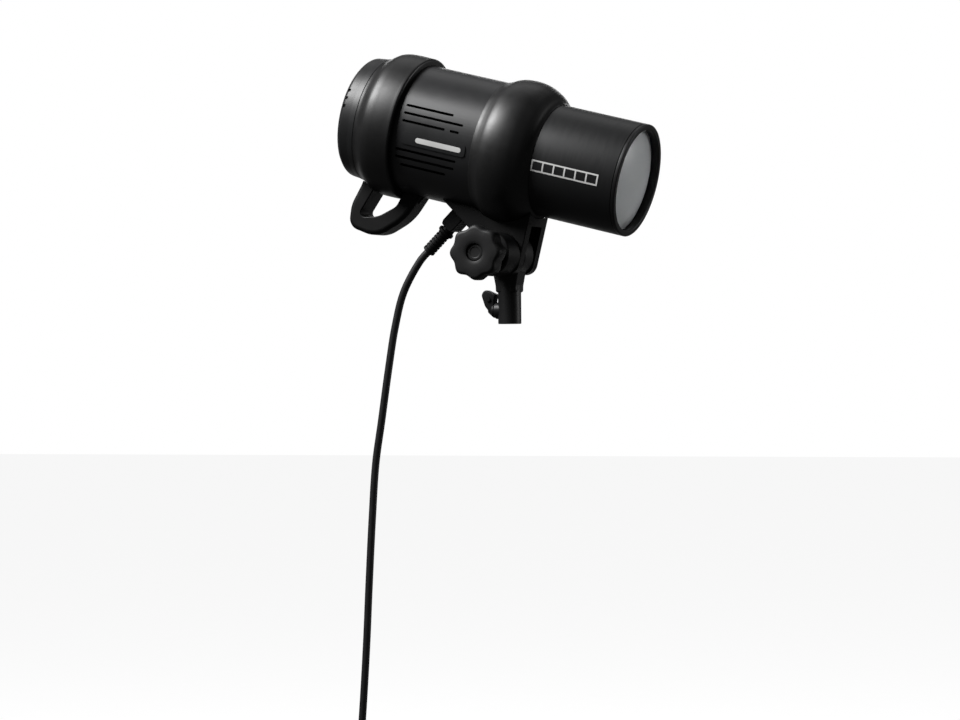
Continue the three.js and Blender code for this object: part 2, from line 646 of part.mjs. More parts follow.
/** The casting: a socket for the stand, a neck that widens, and a tongue for the tilt joint. */
function standBracket() {
  let body = rod(SOCKET_R, 0, SOCKET_TOP, 'z', 24);
  const [low, wide] = [SOCKET_TOP - 9, PIVOT_Z - 12];
  const neck = rounded([
    [-SOCKET_R + 0.4, low, 0], [SOCKET_R - 0.4, low, 0], [SOCKET_R + 4, wide, 4],
    [SOCKET_R + 6, PIVOT_Z, 0], [-SOCKET_R - 6, PIVOT_Z, 0], [-SOCKET_R - 4, wide, 4],
  ]);
  body = body.add(slab(neck, [-TONGUE_HALF, TONGUE_HALF]));
  body = body.add(shift(rod(TONGUE_R, -TONGUE_HALF, TONGUE_HALF, 'y', ROUND), 0, 0, PIVOT_Z));
  body = body.add(shift(rod(LOCK_BOSS_R, LOCK_HUB_X, 0), 0, 0, LOCK_Z));
  body = body.subtract(rod(SOCKET_BORE_R, -1, SOCKET_DEPTH, 'z', 24));
  body = body.subtract(shift(rod(LOCK_SCREW_R + 0.35, LOCK_HUB_X - 1, 0), 0, 0, LOCK_Z));
  const bore = rod(BOLT_BORE_R, -TONGUE_HALF - 1, TONGUE_HALF + 1, 'y');
  return body.subtract(shift(bore, 0, 0, PIVOT_Z));
}

const WASHER_R = 16;

function washer(side) {
  const near = TONGUE_HALF + GAP;
  const far = CHEEK_Y - GAP;
  const span = side > 0 ? [near, far] : [-far, -near];
  return shift(tube(WASHER_R, BOLT_BORE_R, span[0], span[1], 'y', SMALL), 0, 0, PIVOT_Z);
}

/** A wing that lies close along the socket, on a pointed hub. */
function lockLever() {
  const hub = shift(turned([
    [LOCK_HUB_X - GAP, 0], [LOCK_HUB_X - GAP, 6.6], [-15, 6.2], [-18, 4.6], [-20.6, 1.6],
    [-20.6, 0],
  ], 'x', SMALL), 0, 0, LOCK_Z);
  const arm = slab(rounded([
    [-13.3, LOCK_Z - 1, 0], [-18.4, LOCK_Z - 1, 0], [-22.4, LOCK_Z + 4, 0], [-25.8, LOCK_Z + 14, 3],
    [-23.2, LOCK_Z + 19.4, 3], [-11.8, LOCK_Z + 14.4, 0], [-13.3, LOCK_Z + 9.5, 0],
  ]), [-4.5, 4.5], 1);
  const socket = rod(LOCK_SCREW_R + GAP, LOCK_SCREW_X[0] - GAP, LOCK_HUB_X + 1);
  return hub.add(arm).subtract(shift(socket, 0, 0, LOCK_Z));
}

add(group, 'stand_bracket', standBracket(), darkMetal);
add(group, 'washer_left', washer(1), washerFibre);
add(group, 'washer_right', washer(-1), washerFibre);
add(group, 'lock_screw', shift(rod(LOCK_SCREW_R, ...LOCK_SCREW_X), 0, 0, LOCK_Z), brightMetal);
add(group, 'lock_lever', lockLever(), blackPlastic);

// ---- mains lead --------------------------------------------------------------------
/** The end of the strain relief, in the row's own frame. */
function leadStart() {
  const [x, z] = onSlant(INLET_OFFSET + RELIEF_OUT + RELIEF_LENGTH + GAP, INLET_ALONG);
  const point = new THREE.Vector3(x, 0, z);
  group.updateMatrixWorld(true);
  return barrel.localToWorld(point);
}

const COIL_LIFT = TIE_T + GAP;                        // the tie passes under the coil
const COIL_HIGH = COIL_SIDE * CORD_D;
const OUTER_TURN = COIL_R + COIL_HIGH / 2 - CORD_D / 2;
const COIL_Y = -OUTER_TURN;                           // the lead runs in at Y = 0

/** The hanging stretch, from the strain relief to the coil's top outer turn. */
function hangingLead() {
  const start = leadStart();
  const out = new THREE.Vector3(-Math.SQRT1_2, 0, -Math.SQRT1_2);
  const points = [start, start.clone().addScaledVector(out, 10)];
  for (const [x, z] of CORD_ROUTE) points.push(new THREE.Vector3(x, 0, z));
  return bar(new THREE.CatmullRomCurve3(points, false, 'centripetal'), CORD_D / 2, 48);
}

function coil() {
  const half = COIL_HIGH / 2;
  const ease = 2;
  const [low, high] = [FLOOR_Z + COIL_LIFT, FLOOR_Z + COIL_LIFT + COIL_HIGH];
  const ring = turned([
    [low, COIL_R - half + ease], [low, COIL_R + half - ease], [low + ease, COIL_R + half],
    [high - ease, COIL_R + half], [high, COIL_R + half - ease], [high, COIL_R - half + ease],
    [high - ease, COIL_R - half], [low + ease, COIL_R - half],
  ], 'z', 28);
  return shift(ring, COIL_X, COIL_Y, 0);
}

const TIE_HALF = 4.5;
const TIE_GAP = 0.7;
const TIE_ANGLE = 155;                                // degrees round the coil

function coilTie() {
  const side = COIL_HIGH / 2 + TIE_GAP;
  const [low, high] = [-COIL_HIGH / 2 - GAP, COIL_HIGH / 2 + GAP];
  const outline = rounded([
    [-side - TIE_T, low - TIE_T, 1], [side + TIE_T, low - TIE_T, 1],
    [side + TIE_T, high + TIE_T, 1], [-side - TIE_T, high + TIE_T, 1],
  ]);
  const loop = slab(outline, [-TIE_HALF, TIE_HALF], 0, 2)
    .subtract(block([-side, side], [-9, 9], [low, high]));
  const place = new THREE.Matrix4()
    .makeTranslation(COIL_X, COIL_Y, FLOOR_Z + COIL_LIFT + COIL_HIGH / 2);
  const turn = new THREE.Matrix4().makeRotationZ(TIE_ANGLE * DEG);
  const out = new THREE.Matrix4().makeTranslation(COIL_R, 0, 0);
  return moved(loop, place.multiply(turn).multiply(out));
}

const PLUG = {                                        // along X, beside the coil
  y: COIL_Y - OUTER_TURN,
  z: FLOOR_Z + 11,
  neck: [-216, -188],
  head: [-188, -154],
  halfWide: 17,
  pinR: 2.4,
  pinY: 9.5,
  pinTo: -135,
};

/** The tail, from the coil's bottom outer turn to the plug's neck. */
function tailLead() {
  const low = FLOOR_Z + COIL_LIFT + CORD_D / 2;
  const route = [[-268.4, low], [-258, low - 0.8], [-247, low - 0.8], [-234, low + 2]];
  route.push([-224, PLUG.z - 0.6], [PLUG.neck[0] - GAP, PLUG.z]);
  const points = route.map(([x, z]) => new THREE.Vector3(x, PLUG.y, z));
  return bar(new THREE.CatmullRomCurve3(points, false, 'centripetal'), CORD_D / 2, 8);
}

function plug() {
  const [neckFrom, headFrom] = PLUG.neck;
  const neck = shift(turned([
    [neckFrom, 0], [neckFrom, 4.3], [headFrom + 2, 6.6], [headFrom + 2, 0],
  ], 'x', SMALL), 0, PLUG.y, PLUG.z);
  const [, headTo] = PLUG.head;
  const lift = PLUG.z - FLOOR_Z;
  const side = rounded([
    [headFrom, PLUG.z - 7, 3], [headFrom + 12, FLOOR_Z, 5], [headTo, FLOOR_Z, 3],
    [headTo, PLUG.z + lift, 3], [headFrom + 12, PLUG.z + lift, 5], [headFrom, PLUG.z + 7, 3],
  ]);
  const body = slab(side, [PLUG.y - PLUG.halfWide, PLUG.y + PLUG.halfWide], 2, 3);
  let whole = neck.add(body);
  for (const y of [-PLUG.pinY, PLUG.pinY]) {
    whole = whole.subtract(shift(rod(PLUG.pinR + GAP, headTo - 6, headTo + 1, 'x', 16), 0, PLUG.y + y,
      PLUG.z));
  }
  return whole;
}

function plugPin(side) {
  const [from, to] = [PLUG.head[1] - 5.7, PLUG.pinTo];
  return shift(turned([
    [from, 0], [from, PLUG.pinR], [to - 1.2, PLUG.pinR], [to, PLUG.pinR - 1.2], [to, 0],
  ], 'x', 16), 0, PLUG.y + side * PLUG.pinY, PLUG.z);
}

add(group, 'mains_lead', hangingLead(), cordPvc);
add(group, 'mains_lead_coil', coil(), cordPvc);
add(group, 'mains_lead_tail', tailLead(), cordPvc);
add(group, 'coil_tie', coilTie(), blackPlastic);
add(group, 'mains_plug', plug(), blackPlastic);
add(group, 'plug_pin_1', plugPin(1), brightMetal);
add(group, 'plug_pin_2', plugPin(-1), brightMetal);

export default group;
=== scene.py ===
"""The monolight strobe's looks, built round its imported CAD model.

The head's pieces are drawn in millimetres on the barrel's own axes: x along the optical axis,
z up from it, y to the head's left. HEAD places them in the row frame.
"""
import json
import math

import bmesh
import bpy
from mathutils import Matrix, Vector

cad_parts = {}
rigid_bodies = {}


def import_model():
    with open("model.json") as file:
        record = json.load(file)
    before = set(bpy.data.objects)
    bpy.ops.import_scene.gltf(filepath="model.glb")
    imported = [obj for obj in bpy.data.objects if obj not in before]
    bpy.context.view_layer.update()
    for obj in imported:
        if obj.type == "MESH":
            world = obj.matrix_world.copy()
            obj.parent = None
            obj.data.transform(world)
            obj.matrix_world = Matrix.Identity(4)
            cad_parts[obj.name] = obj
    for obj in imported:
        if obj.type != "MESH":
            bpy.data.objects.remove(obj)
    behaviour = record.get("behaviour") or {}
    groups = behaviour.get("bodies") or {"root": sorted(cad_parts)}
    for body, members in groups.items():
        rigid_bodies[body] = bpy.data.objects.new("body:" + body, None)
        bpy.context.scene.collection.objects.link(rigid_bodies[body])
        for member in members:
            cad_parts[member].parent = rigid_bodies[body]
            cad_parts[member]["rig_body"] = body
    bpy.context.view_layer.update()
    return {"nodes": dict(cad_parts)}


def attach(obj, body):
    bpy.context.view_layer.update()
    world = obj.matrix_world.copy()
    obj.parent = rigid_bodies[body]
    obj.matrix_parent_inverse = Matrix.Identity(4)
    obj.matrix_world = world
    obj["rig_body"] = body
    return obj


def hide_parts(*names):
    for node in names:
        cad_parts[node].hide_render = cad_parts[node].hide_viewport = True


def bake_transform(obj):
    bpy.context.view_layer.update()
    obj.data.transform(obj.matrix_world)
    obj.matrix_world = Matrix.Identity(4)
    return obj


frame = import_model()

MM = 0.001
GAP = 0.3                          # between pieces that turn or fit together, mm
REST_TILT = math.radians(14.1)
PIVOT_X = 16                       # tilt axis ahead of the barrel's zero, mm
AXIS_HIGH = 90.6                   # optical axis above the tilt axis, mm
PIVOT_Z = 62                       # tilt axis above the socket's mouth, mm
ON_AXIS = 1e-6                     # radius that counts as none
ROW = Matrix.Identity(4)
PIVOT_ROW = Matrix.Translation((0, 0, PIVOT_Z * MM))
HEAD_PIVOT = PIVOT_ROW @ Matrix.Rotation(REST_TILT, 4, "Y")
HEAD = HEAD_PIVOT @ Matrix.Translation((-PIVOT_X * MM, 0, AXIS_HIGH * MM))


# ---- camera ----
def camera():
    """The photograph's viewpoint, turned on to the strobe with a longer lens."""
    heading = math.radians(17.1)       # the photograph's own axis
    aim = math.radians(23.5)           # turned left on to the strobe
    across, back, down = 0.2925, 2.85, 0.032
    right = Vector((math.cos(heading), math.sin(heading), 0))
    ahead = Vector((-math.sin(heading), math.cos(heading), 0))
    data = bpy.data.cameras.new("camera")
    data.sensor_width = 36
    data.lens = 120
    data.clip_start, data.clip_end = 0.1, 60
    cam = linked("camera", data)
    cam.location = across * right - back * ahead - Vector((0, 0, down))
    cam.rotation_mode = "QUATERNION"
    look = Vector((-math.sin(aim), math.cos(aim), 0)).to_track_quat("-Z", "Y")
    roll = Matrix.Rotation(math.radians(-0.54), 4, "Z").to_quaternion()
    cam.rotation_quaternion = look @ roll
    bpy.context.scene.camera = cam


def linked(name, data):
    obj = bpy.data.objects.new(name, data)
    bpy.context.scene.collection.objects.link(obj)
    return obj


# ---- shapes ----
def rounded(corners, steps=5, closed=True):
    """Points along straight sides with an arc at each corner [(x, y, radius), ...]."""
    points = []
    count = len(corners)
    for i, corner in enumerate(corners):
        here = Vector(corner[:2])
        radius = corner[2] if len(corner) > 2 else 0
        if radius <= 0 or (not closed and i in (0, count - 1)):
            points.append(here)
            continue
        before = (Vector(corners[i - 1][:2]) - here).normalized()
        after = (Vector(corners[(i + 1) % count][:2]) - here).normalized()
        half = math.acos(max(-1, min(1, before.dot(after)))) / 2
        if half > math.radians(89):
            points.append(here)
            continue
        middle = (before + after).normalized()
        centre = here + middle * (radius / math.sin(half))
        first = here + before * (radius / math.tan(half)) - centre
        turn = math.pi - 2 * half
        side = 1 if first.x * (-middle.y) - first.y * (-middle.x) > 0 else -1
        for k in range(steps + 1):
            angle = side * turn * k / steps
            cos, sin = math.cos(angle), math.sin(angle)
            points.append(centre + Vector((first.x * cos - first.y * sin,
                                           first.x * sin + first.y * cos)))
    return points


def rectangle(across, up, corner, steps=6):
    """A rectangle's outline with rounded corners."""
    (left, right), (low, high) = across, up
    return rounded([(left, low, corner), (right, low, corner), (right, high, corner),
                    (left, high, corner)], steps)


def arc(centre, radius, start, stop, steps):
    """Points round a centre, between two angles in degrees."""
    out = []
    for k in range(steps + 1):
        a = math.radians(start + (stop - start) * k / steps)
        out.append((centre[0] + radius * math.cos(a), centre[1] + radius * math.sin(a)))
    return out


def lathe(outline, axis="x", facets=144):
    """A mesh turned about an axis from a closed outline of (along, radius), or an open one
    that starts and ends on the axis."""
    bm = bmesh.new()
    ahead = {"x": Vector((1, 0, 0)), "y": Vector((0, 1, 0)), "z": Vector((0, 0, 1))}[axis]
    rings = []
    for along, radius in outline:
        if radius < ON_AXIS:
            rings.append([bm.verts.new(along * ahead)] * facets)
            continue
        ring = []
        for k in range(facets):
            a = 2 * math.pi * k / facets
            u, v = radius * math.cos(a), radius * math.sin(a)
            spot = {"x": Vector((0, u, v)), "y": Vector((u, 0, v)), "z": Vector((u, v, 0))}[axis]
            ring.append(bm.verts.new(along * ahead + spot))
        rings.append(ring)
    if max(outline[0][1], outline[-1][1]) > ON_AXIS:
        rings.append(rings[0])
    bridge(bm, rings)
    return closed(bm)


def bridge(bm, rings):
    """Faces between each ring and the next. A ring on the axis is one vertex over and over."""
    around = len(rings[0])
    for low, high in zip(rings, rings[1:]):
        for k in range(around):
            n = (k + 1) % around
            corners = list(dict.fromkeys((low[k], low[n], high[n], high[k])))
            if len(corners) > 2:
                bm.faces.new(corners)


def prism(outline, span, axis="y"):
    """An outline in the two other axes, drawn out along axis between two places."""
    bm = bmesh.new()
    place = {
        "x": lambda p, t: Vector((t, p[0], p[1])),
        "y": lambda p, t: Vector((p[0], t, p[1])),
        "z": lambda p, t: Vector((p[0], p[1], t)),
    }[axis]
    near = [bm.verts.new(place(p, span[0])) for p in outline]
    far = [bm.verts.new(place(p, span[1])) for p in outline]
    bm.faces.new(near)
    bm.faces.new(list(reversed(far)))
    for k in range(len(outline)):
        n = (k + 1) % len(outline)
        bm.faces.new((near[n], near[k], far[k], far[n]))
    return closed(bm)


def closed(bm):
    """The mesh of a bmesh, with its seams merged and its normals outward."""
    bmesh.ops.remove_doubles(bm, verts=bm.verts, dist=1e-5)
    bmesh.ops.recalc_face_normals(bm, faces=bm.faces)
    return as_mesh(bm)


def as_mesh(bm):
    mesh = bpy.data.meshes.new("mesh")
    bm.to_mesh(mesh)
    bm.free()
    return mesh


def block(xs, ys, zs, corner=0.0):
    """A box with its edges along X rounded."""
    return prism(rectangle(ys, zs, corner, 4), xs, "x")


def cylinder(radius, span, axis="x", facets=64):
    return lathe([(span[0], 0), (span[0], radius), (span[1], radius), (span[1], 0)], axis, facets)


def moved(mesh, matrix):
    mesh.transform(matrix)
    return mesh


def shifted(mesh, x=0, y=0, z=0):
    return moved(mesh, Matrix.Translation((x, y, z)))


def join(*meshes):
    """Several meshes as one, each still its own shell."""
    bm = bmesh.new()
    for mesh in meshes:
        bm.from_mesh(mesh)
    return as_mesh(bm)


def modified(mesh, *modifiers):
    """A mesh after modifiers, each given as its kind and settings."""
    obj = linked("base", mesh)
    for kind, settings in modifiers:
        modifier = obj.modifiers.new("step", kind)
        for key, value in settings.items():
            setattr(modifier, key, value)
    graph = bpy.context.evaluated_depsgraph_get()
    graph.update()
    result = bpy.data.meshes.new_from_object(obj.evaluated_get(graph), depsgraph=graph)
    bpy.data.objects.remove(obj)
    return result


def boolean(mesh, others, how="DIFFERENCE"):
    """Cuts a mesh with others, joins it to them or keeps what they share."""
    tools = [linked("tool", other) for other in others]
    result = modified(mesh, *[("BOOLEAN", {"operation": how, "solver": "EXACT", "object": tool})
                              for tool in tools])
    for tool in tools:
        bpy.data.objects.remove(tool)
    return result


def eased(mesh, width, segments=3, angle=35):
    """Rounds the edges sharper than an angle by a width in the mesh's own units."""
    bm = bmesh.new()
    bm.from_mesh(mesh)
    bmesh.ops.remove_doubles(bm, verts=bm.verts, dist=1e-4)
    bmesh.ops.dissolve_limit(bm, angle_limit=math.radians(0.5), verts=bm.verts, edges=bm.edges)
    return modified(as_mesh(bm), ("BEVEL", {
        "width": width, "segments": segments, "limit_method": "ANGLE",
        "angle_limit": math.radians(angle), "use_clamp_overlap": True}))


def smooth(mesh, angle):
    """Smooth shading but for the edges sharper than an angle."""
    for polygon in mesh.polygons:
        polygon.use_smooth = True
    mesh.set_sharp_from_angle(angle=math.radians(angle))


def piece(name, mesh, look, body, *nodes, slot=None, place=HEAD, flats=False):
    """Makes a named object from a mesh in millimetres and tells the frame its body and the nodes it
    replaces. The slot argument is not used. With flats, flat faces stay flat up to their eased edges."""
    smooth(moved(mesh, Matrix.Scale(MM, 4)), 32)
    if flats:
        mesh = modified(mesh, ("WEIGHTED_NORMAL", {"keep_sharp": True}))
    mesh.name = name
    obj = linked(name, mesh)
    obj.matrix_world = place
    mesh.materials.clear()
    mesh.materials.append(MATERIALS[look])
    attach(obj, body)
    if nodes:
        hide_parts(*nodes)
    return obj


# ---- cord ----
CORD_D = 0.007
FLOOR_Z = -0.77
COIL_R = 0.042
COIL_SIDE = 4                      # turns across and turns high
COIL_X = -0.296
COIL_LIFT = 0.0015                 # the tie passes under the coil
OUTER_TURN = COIL_R + (COIL_SIDE - 1) / 2 * CORD_D
PLUG_Z = FLOOR_Z + 0.011
PLUG_Y = -2 * OUTER_TURN
PLUG_NECK_X = -0.216
INLET_ANGLE = math.radians(58)     # the inlet faces this far below straight back
INLET_OFFSET = 5                   # slanted face to tilt axis, mm
INLET_ALONG = -58.4                # inlet centre along the slanted face, mm
RELIEF_END = 49.1                  # end of the strain relief out of the face, mm


def on_slant(out, along):
    """A place out from the tilt axis towards the slanted face, and along that face."""
    x = PIVOT_X - out * math.cos(INLET_ANGLE) + along * math.sin(INLET_ANGLE)
    z = -AXIS_HIGH - out * math.sin(INLET_ANGLE) - along * math.cos(INLET_ANGLE)
    return x, z


def off_slant(mesh):
    """Puts a piece drawn along +X at the inlet, straight out of the slanted face."""
    return moved(mesh, SLANT)


INLET_X, INLET_Z = on_slant(INLET_OFFSET, INLET_ALONG)
SLANT = Matrix.Translation((INLET_X, 0, INLET_Z)) @ Matrix.Rotation(math.pi - INLET_ANGLE, 4, "Y")


def between(a, b, ta, tb, t):
    return a * ((tb - t) / (tb - ta)) + b * ((t - ta) / (tb - ta))


def catmull(points, spacing):
    """Centripetal Catmull-Rom through the points, at about even spacing."""
    points = [Vector(p) for p in points]
    ends = [2 * points[0] - points[1]] + points + [2 * points[-1] - points[-2]]
    out = []
    for p0, p1, p2, p3 in zip(ends, ends[1:], ends[2:], ends[3:]):
        t0 = 0
        t1 = t0 + (p1 - p0).length ** 0.5
        t2 = t1 + (p2 - p1).length ** 0.5
        t3 = t2 + (p3 - p2).length ** 0.5
        steps = max(1, round((p2 - p1).length / spacing))
        for k in range(steps):
            t = t1 + (t2 - t1) * k / steps
            a1 = between(p0, p1, t0, t1, t)
            a2 = between(p1, p2, t1, t2, t)
            a3 = between(p2, p3, t2, t3, t)
            b1 = between(a1, a2, t0, t2, t)
            b2 = between(a2, a3, t1, t3, t)
            out.append(between(b1, b2, t1, t2, t))
    out.append(points[-1])
    return out


def smoothstep(t):
    t = max(0.0, min(1.0, t))
    return t * t * (3 - 2 * t)


def coil_points():
    """The spare length: anticlockwise from the top outer turn, in and down, out and down, and so
    on, leaving at the bottom on the outside. A turn shifts sideways or down at its end."""
    centre = Vector((COIL_X, -OUTER_TURN, 0))
    low = FLOOR_Z + COIL_LIFT + CORD_D / 2
    places = []
    for layer in range(COIL_SIDE):
        across = range(COIL_SIDE) if layer % 2 == 0 else reversed(range(COIL_SIDE))
        for column in across:
            places.append((OUTER_TURN - column * CORD_D, low + (COIL_SIDE - 1 - layer) * CORD_D))
    per_turn = 40
    shift_from = 0.78
    out = []
    total = len(places) - 0.5
    for k in range(int(total * per_turn) + 1):
        turn = k / per_turn
        this = min(int(turn), len(places) - 1)
        after = min(this + 1, len(places) - 1)
        blend = smoothstep((turn - this - shift_from) / (1 - shift_from))
        radius = places[this][0] * (1 - blend) + places[after][0] * blend
        height = places[this][1] * (1 - blend) + places[after][1] * blend
        angle = math.pi / 2 + 2 * math.pi * turn
        out.append(centre + Vector((radius * math.cos(angle), radius * math.sin(angle), height)))
    return out


def cord_path():
    """The lead's middle line: out of the inlet, down to the coil, round it and on to the plug."""
    start = HEAD @ (SLANT @ Vector((RELIEF_END + GAP, 0, 0)) * MM)
    out = Vector((-math.sqrt(0.5), 0, -math.sqrt(0.5)))
    hanging = [(-0.104, 0.031), (-0.113, 0), (-0.120, -0.038), (-0.128, -0.088),
               (-0.134, -0.125), (-0.138, -0.174), (-0.142, -0.237), (-0.145, -0.290),
               (-0.150, -0.358), (-0.156, -0.422), (-0.161, -0.464), (-0.168, -0.515),
               (-0.178, -0.570), (-0.193, -0.632), (-0.205, -0.668), (-0.221, -0.701),
               (-0.243, -0.727), (-0.2684, -0.741)]
    route = [start, start + out * 0.010] + [Vector((x, 0, z)) for x, z in hanging]
    turns = coil_points()
    low = turns[-1].z
    tail = [Vector((x, PLUG_Y, z)) for x, z in (
        (-0.2684, low), (-0.258, low - 0.0008), (-0.247, low - 0.0008), (-0.234, low + 0.002),
        (-0.224, PLUG_Z - 0.0006), (PLUG_NECK_X - 0.0003, PLUG_Z))]
    return catmull(route + turns[1:] + tail, 0.006)


def tube_mesh(path, radius, sides=14):
    """A closed tube round a path, with its rings carried along without twist."""
    bm = bmesh.new()
    rings = []
    normal = Vector((0, 1, 0))
    for i, point in enumerate(path):
        ahead = (path[min(i + 1, len(path) - 1)] - path[max(i - 1, 0)]).normalized()
        normal = (normal - ahead * normal.dot(ahead)).normalized()
        side = ahead.cross(normal)
        ring = []
        for k in range(sides):
            a = 2 * math.pi * k / sides
            ring.append(bm.verts.new(point + radius * (math.cos(a) * normal + math.sin(a) * side)))
        rings.append(ring)
    bridge(bm, rings)
    bm.faces.new(list(reversed(rings[0])))
    bm.faces.new(rings[-1])
    bmesh.ops.recalc_face_normals(bm, faces=bm.faces)
    return as_mesh(bm)


# ---- materials ----
class Nodes:
    """A small helper round a material's node tree."""

    def __init__(self, name):
        self.material = bpy.data.materials.new(name)
        self.material.use_nodes = True
        self.tree = self.material.node_tree
        self.shader = self.tree.nodes["Principled BSDF"]
        self.coordinates = self.add("ShaderNodeTexCoord").outputs["Object"]

    def add(self, kind, inputs=None, **settings):
        node = self.tree.nodes.new(kind)
        for key, value in settings.items():
            setattr(node, key, value)
        for key, value in (inputs or {}).items():
            node.inputs[key].default_value = value
        return node

    def link(self, start, end):
        self.tree.links.new(start, end)

    def stretched(self, scale):
        """Object coordinates scaled unevenly, for brushed or drawn marks."""
        node = self.add("ShaderNodeMapping", {"Scale": scale})
        self.link(self.coordinates, node.inputs["Vector"])
        return node.outputs["Vector"]

    def noise(self, scale, detail=4.0, roughness=0.55, vector=None):
        node = self.add("ShaderNodeTexNoise", {"Scale": scale, "Detail": detail,
                                               "Roughness": roughness})
        self.link(vector or self.coordinates, node.inputs["Vector"])
        return node.outputs["Fac"]

    def ramp(self, value, low, high, out_low=0.0, out_high=1.0):
        node = self.add("ShaderNodeMapRange", {"From Min": low, "From Max": high, "To Min": out_low,
                                               "To Max": out_high})
        self.link(value, node.inputs["Value"])
        return node.outputs["Result"]

    def mixed(self, share, first, second):
        """Two colours mixed by a share."""
        node = self.add("ShaderNodeMix", {6: (*first, 1), 7: (*second, 1)}, data_type="RGBA")
        self.link(share, node.inputs[0])
        return node.outputs[2]

    def drift(self, scale, first, second):
        """Two colours that turn slowly into each other."""
        return self.mixed(self.ramp(self.noise(scale, 3), 0.35, 0.65), first, second)

    def bump(self, height, strength, distance, under=None):
        node = self.add("ShaderNodeBump", {"Strength": strength, "Distance": distance})
        self.link(height, node.inputs["Height"])
        if under:
            self.link(under, node.inputs["Normal"])
        self.link(node.outputs["Normal"], self.shader.inputs["Normal"])
        return node.outputs["Normal"]

    def set(self, **values):
        """Sets the shader's sockets, a number on the socket itself and the rest by a link."""
        for key, value in values.items():
            socket = self.shader.inputs[key.replace("_", " ")]
            if isinstance(value, (int, float)):
                socket.default_value = value
            else:
                self.link(value, socket)


def moulded(name, colour, lighter, roughness, grain=2600, depth=0.00006, strength=0.35, specular=0.5):
    """Moulded plastic or rubber: fine spark-eroded grain and a slow colour drift."""
    n = Nodes(name)
    base = n.drift(38, colour, lighter)
    n.bump(n.noise(grain, 2, 0.6), strength, depth)
    smudge = n.ramp(n.noise(90, 5, 0.6), 0.3, 0.7, roughness - 0.02, roughness + 0.04)
    n.set(Base_Color=base, Roughness=smudge, Specular_IOR_Level=specular)
    return n.material


def metal_paint(name, colour, lighter, roughness, metallic, peel=900, depth=0.00004, specular=0.5):
    """Powder coat or paint on metal: a slight orange peel with finer grain over it."""
    n = Nodes(name)
    base = n.drift(26, colour, lighter)
    first = n.bump(n.noise(peel, 2, 0.5), 0.28, depth)
    n.bump(n.noise(3400, 2, 0.6), 0.22, 0.00003, first)
    smudge = n.ramp(n.noise(70, 5, 0.6), 0.3, 0.7, roughness - 0.02, roughness + 0.03)
    n.set(Base_Color=base, Metallic=metallic, Roughness=smudge, Specular_IOR_Level=specular)
    return n.material


def machined(name, colour, roughness, metallic, along=(1, 1, 1), marks=1500):
    """Turned or drawn metal: marks stretched along the cut, with small roughness change."""
    n = Nodes(name)
    lines = n.noise(marks, 3, 0.6, n.stretched(along))
    base = n.mixed(lines, tuple(0.86 * c for c in colour), colour)
    n.bump(lines, 0.18, 0.00003)
    n.set(Base_Color=base, Metallic=metallic,
          Roughness=n.ramp(lines, 0.3, 0.7, roughness - 0.05, roughness + 0.06))
    return n.material


def frosted(name, colour, roughness, through, grain):
    """Glass etched to a satin finish."""
    n = Nodes(name)
    n.bump(n.noise(grain, 3, 0.6), 0.3, 0.00004)
    tint = n.drift(60, colour, tuple(0.96 * c for c in colour))
    n.set(Base_Color=tint, Roughness=roughness, Transmission_Weight=through, IOR=1.47)
    return n.material


def glossy(name, colour, roughness, coat=0.3):
    """Smooth plastic, glass or glaze under a thin clear coat."""
    n = Nodes(name)
    tint = n.drift(55, colour, tuple(0.85 * c for c in colour))
    n.bump(n.noise(420, 2), 0.05, 0.00003)
    smudge = n.ramp(n.noise(130, 5), 0.35, 0.7, roughness, roughness + 0.08)
    n.set(Base_Color=tint, Roughness=smudge, Coat_Weight=coat, Coat_Roughness=0.08)
    return n.material


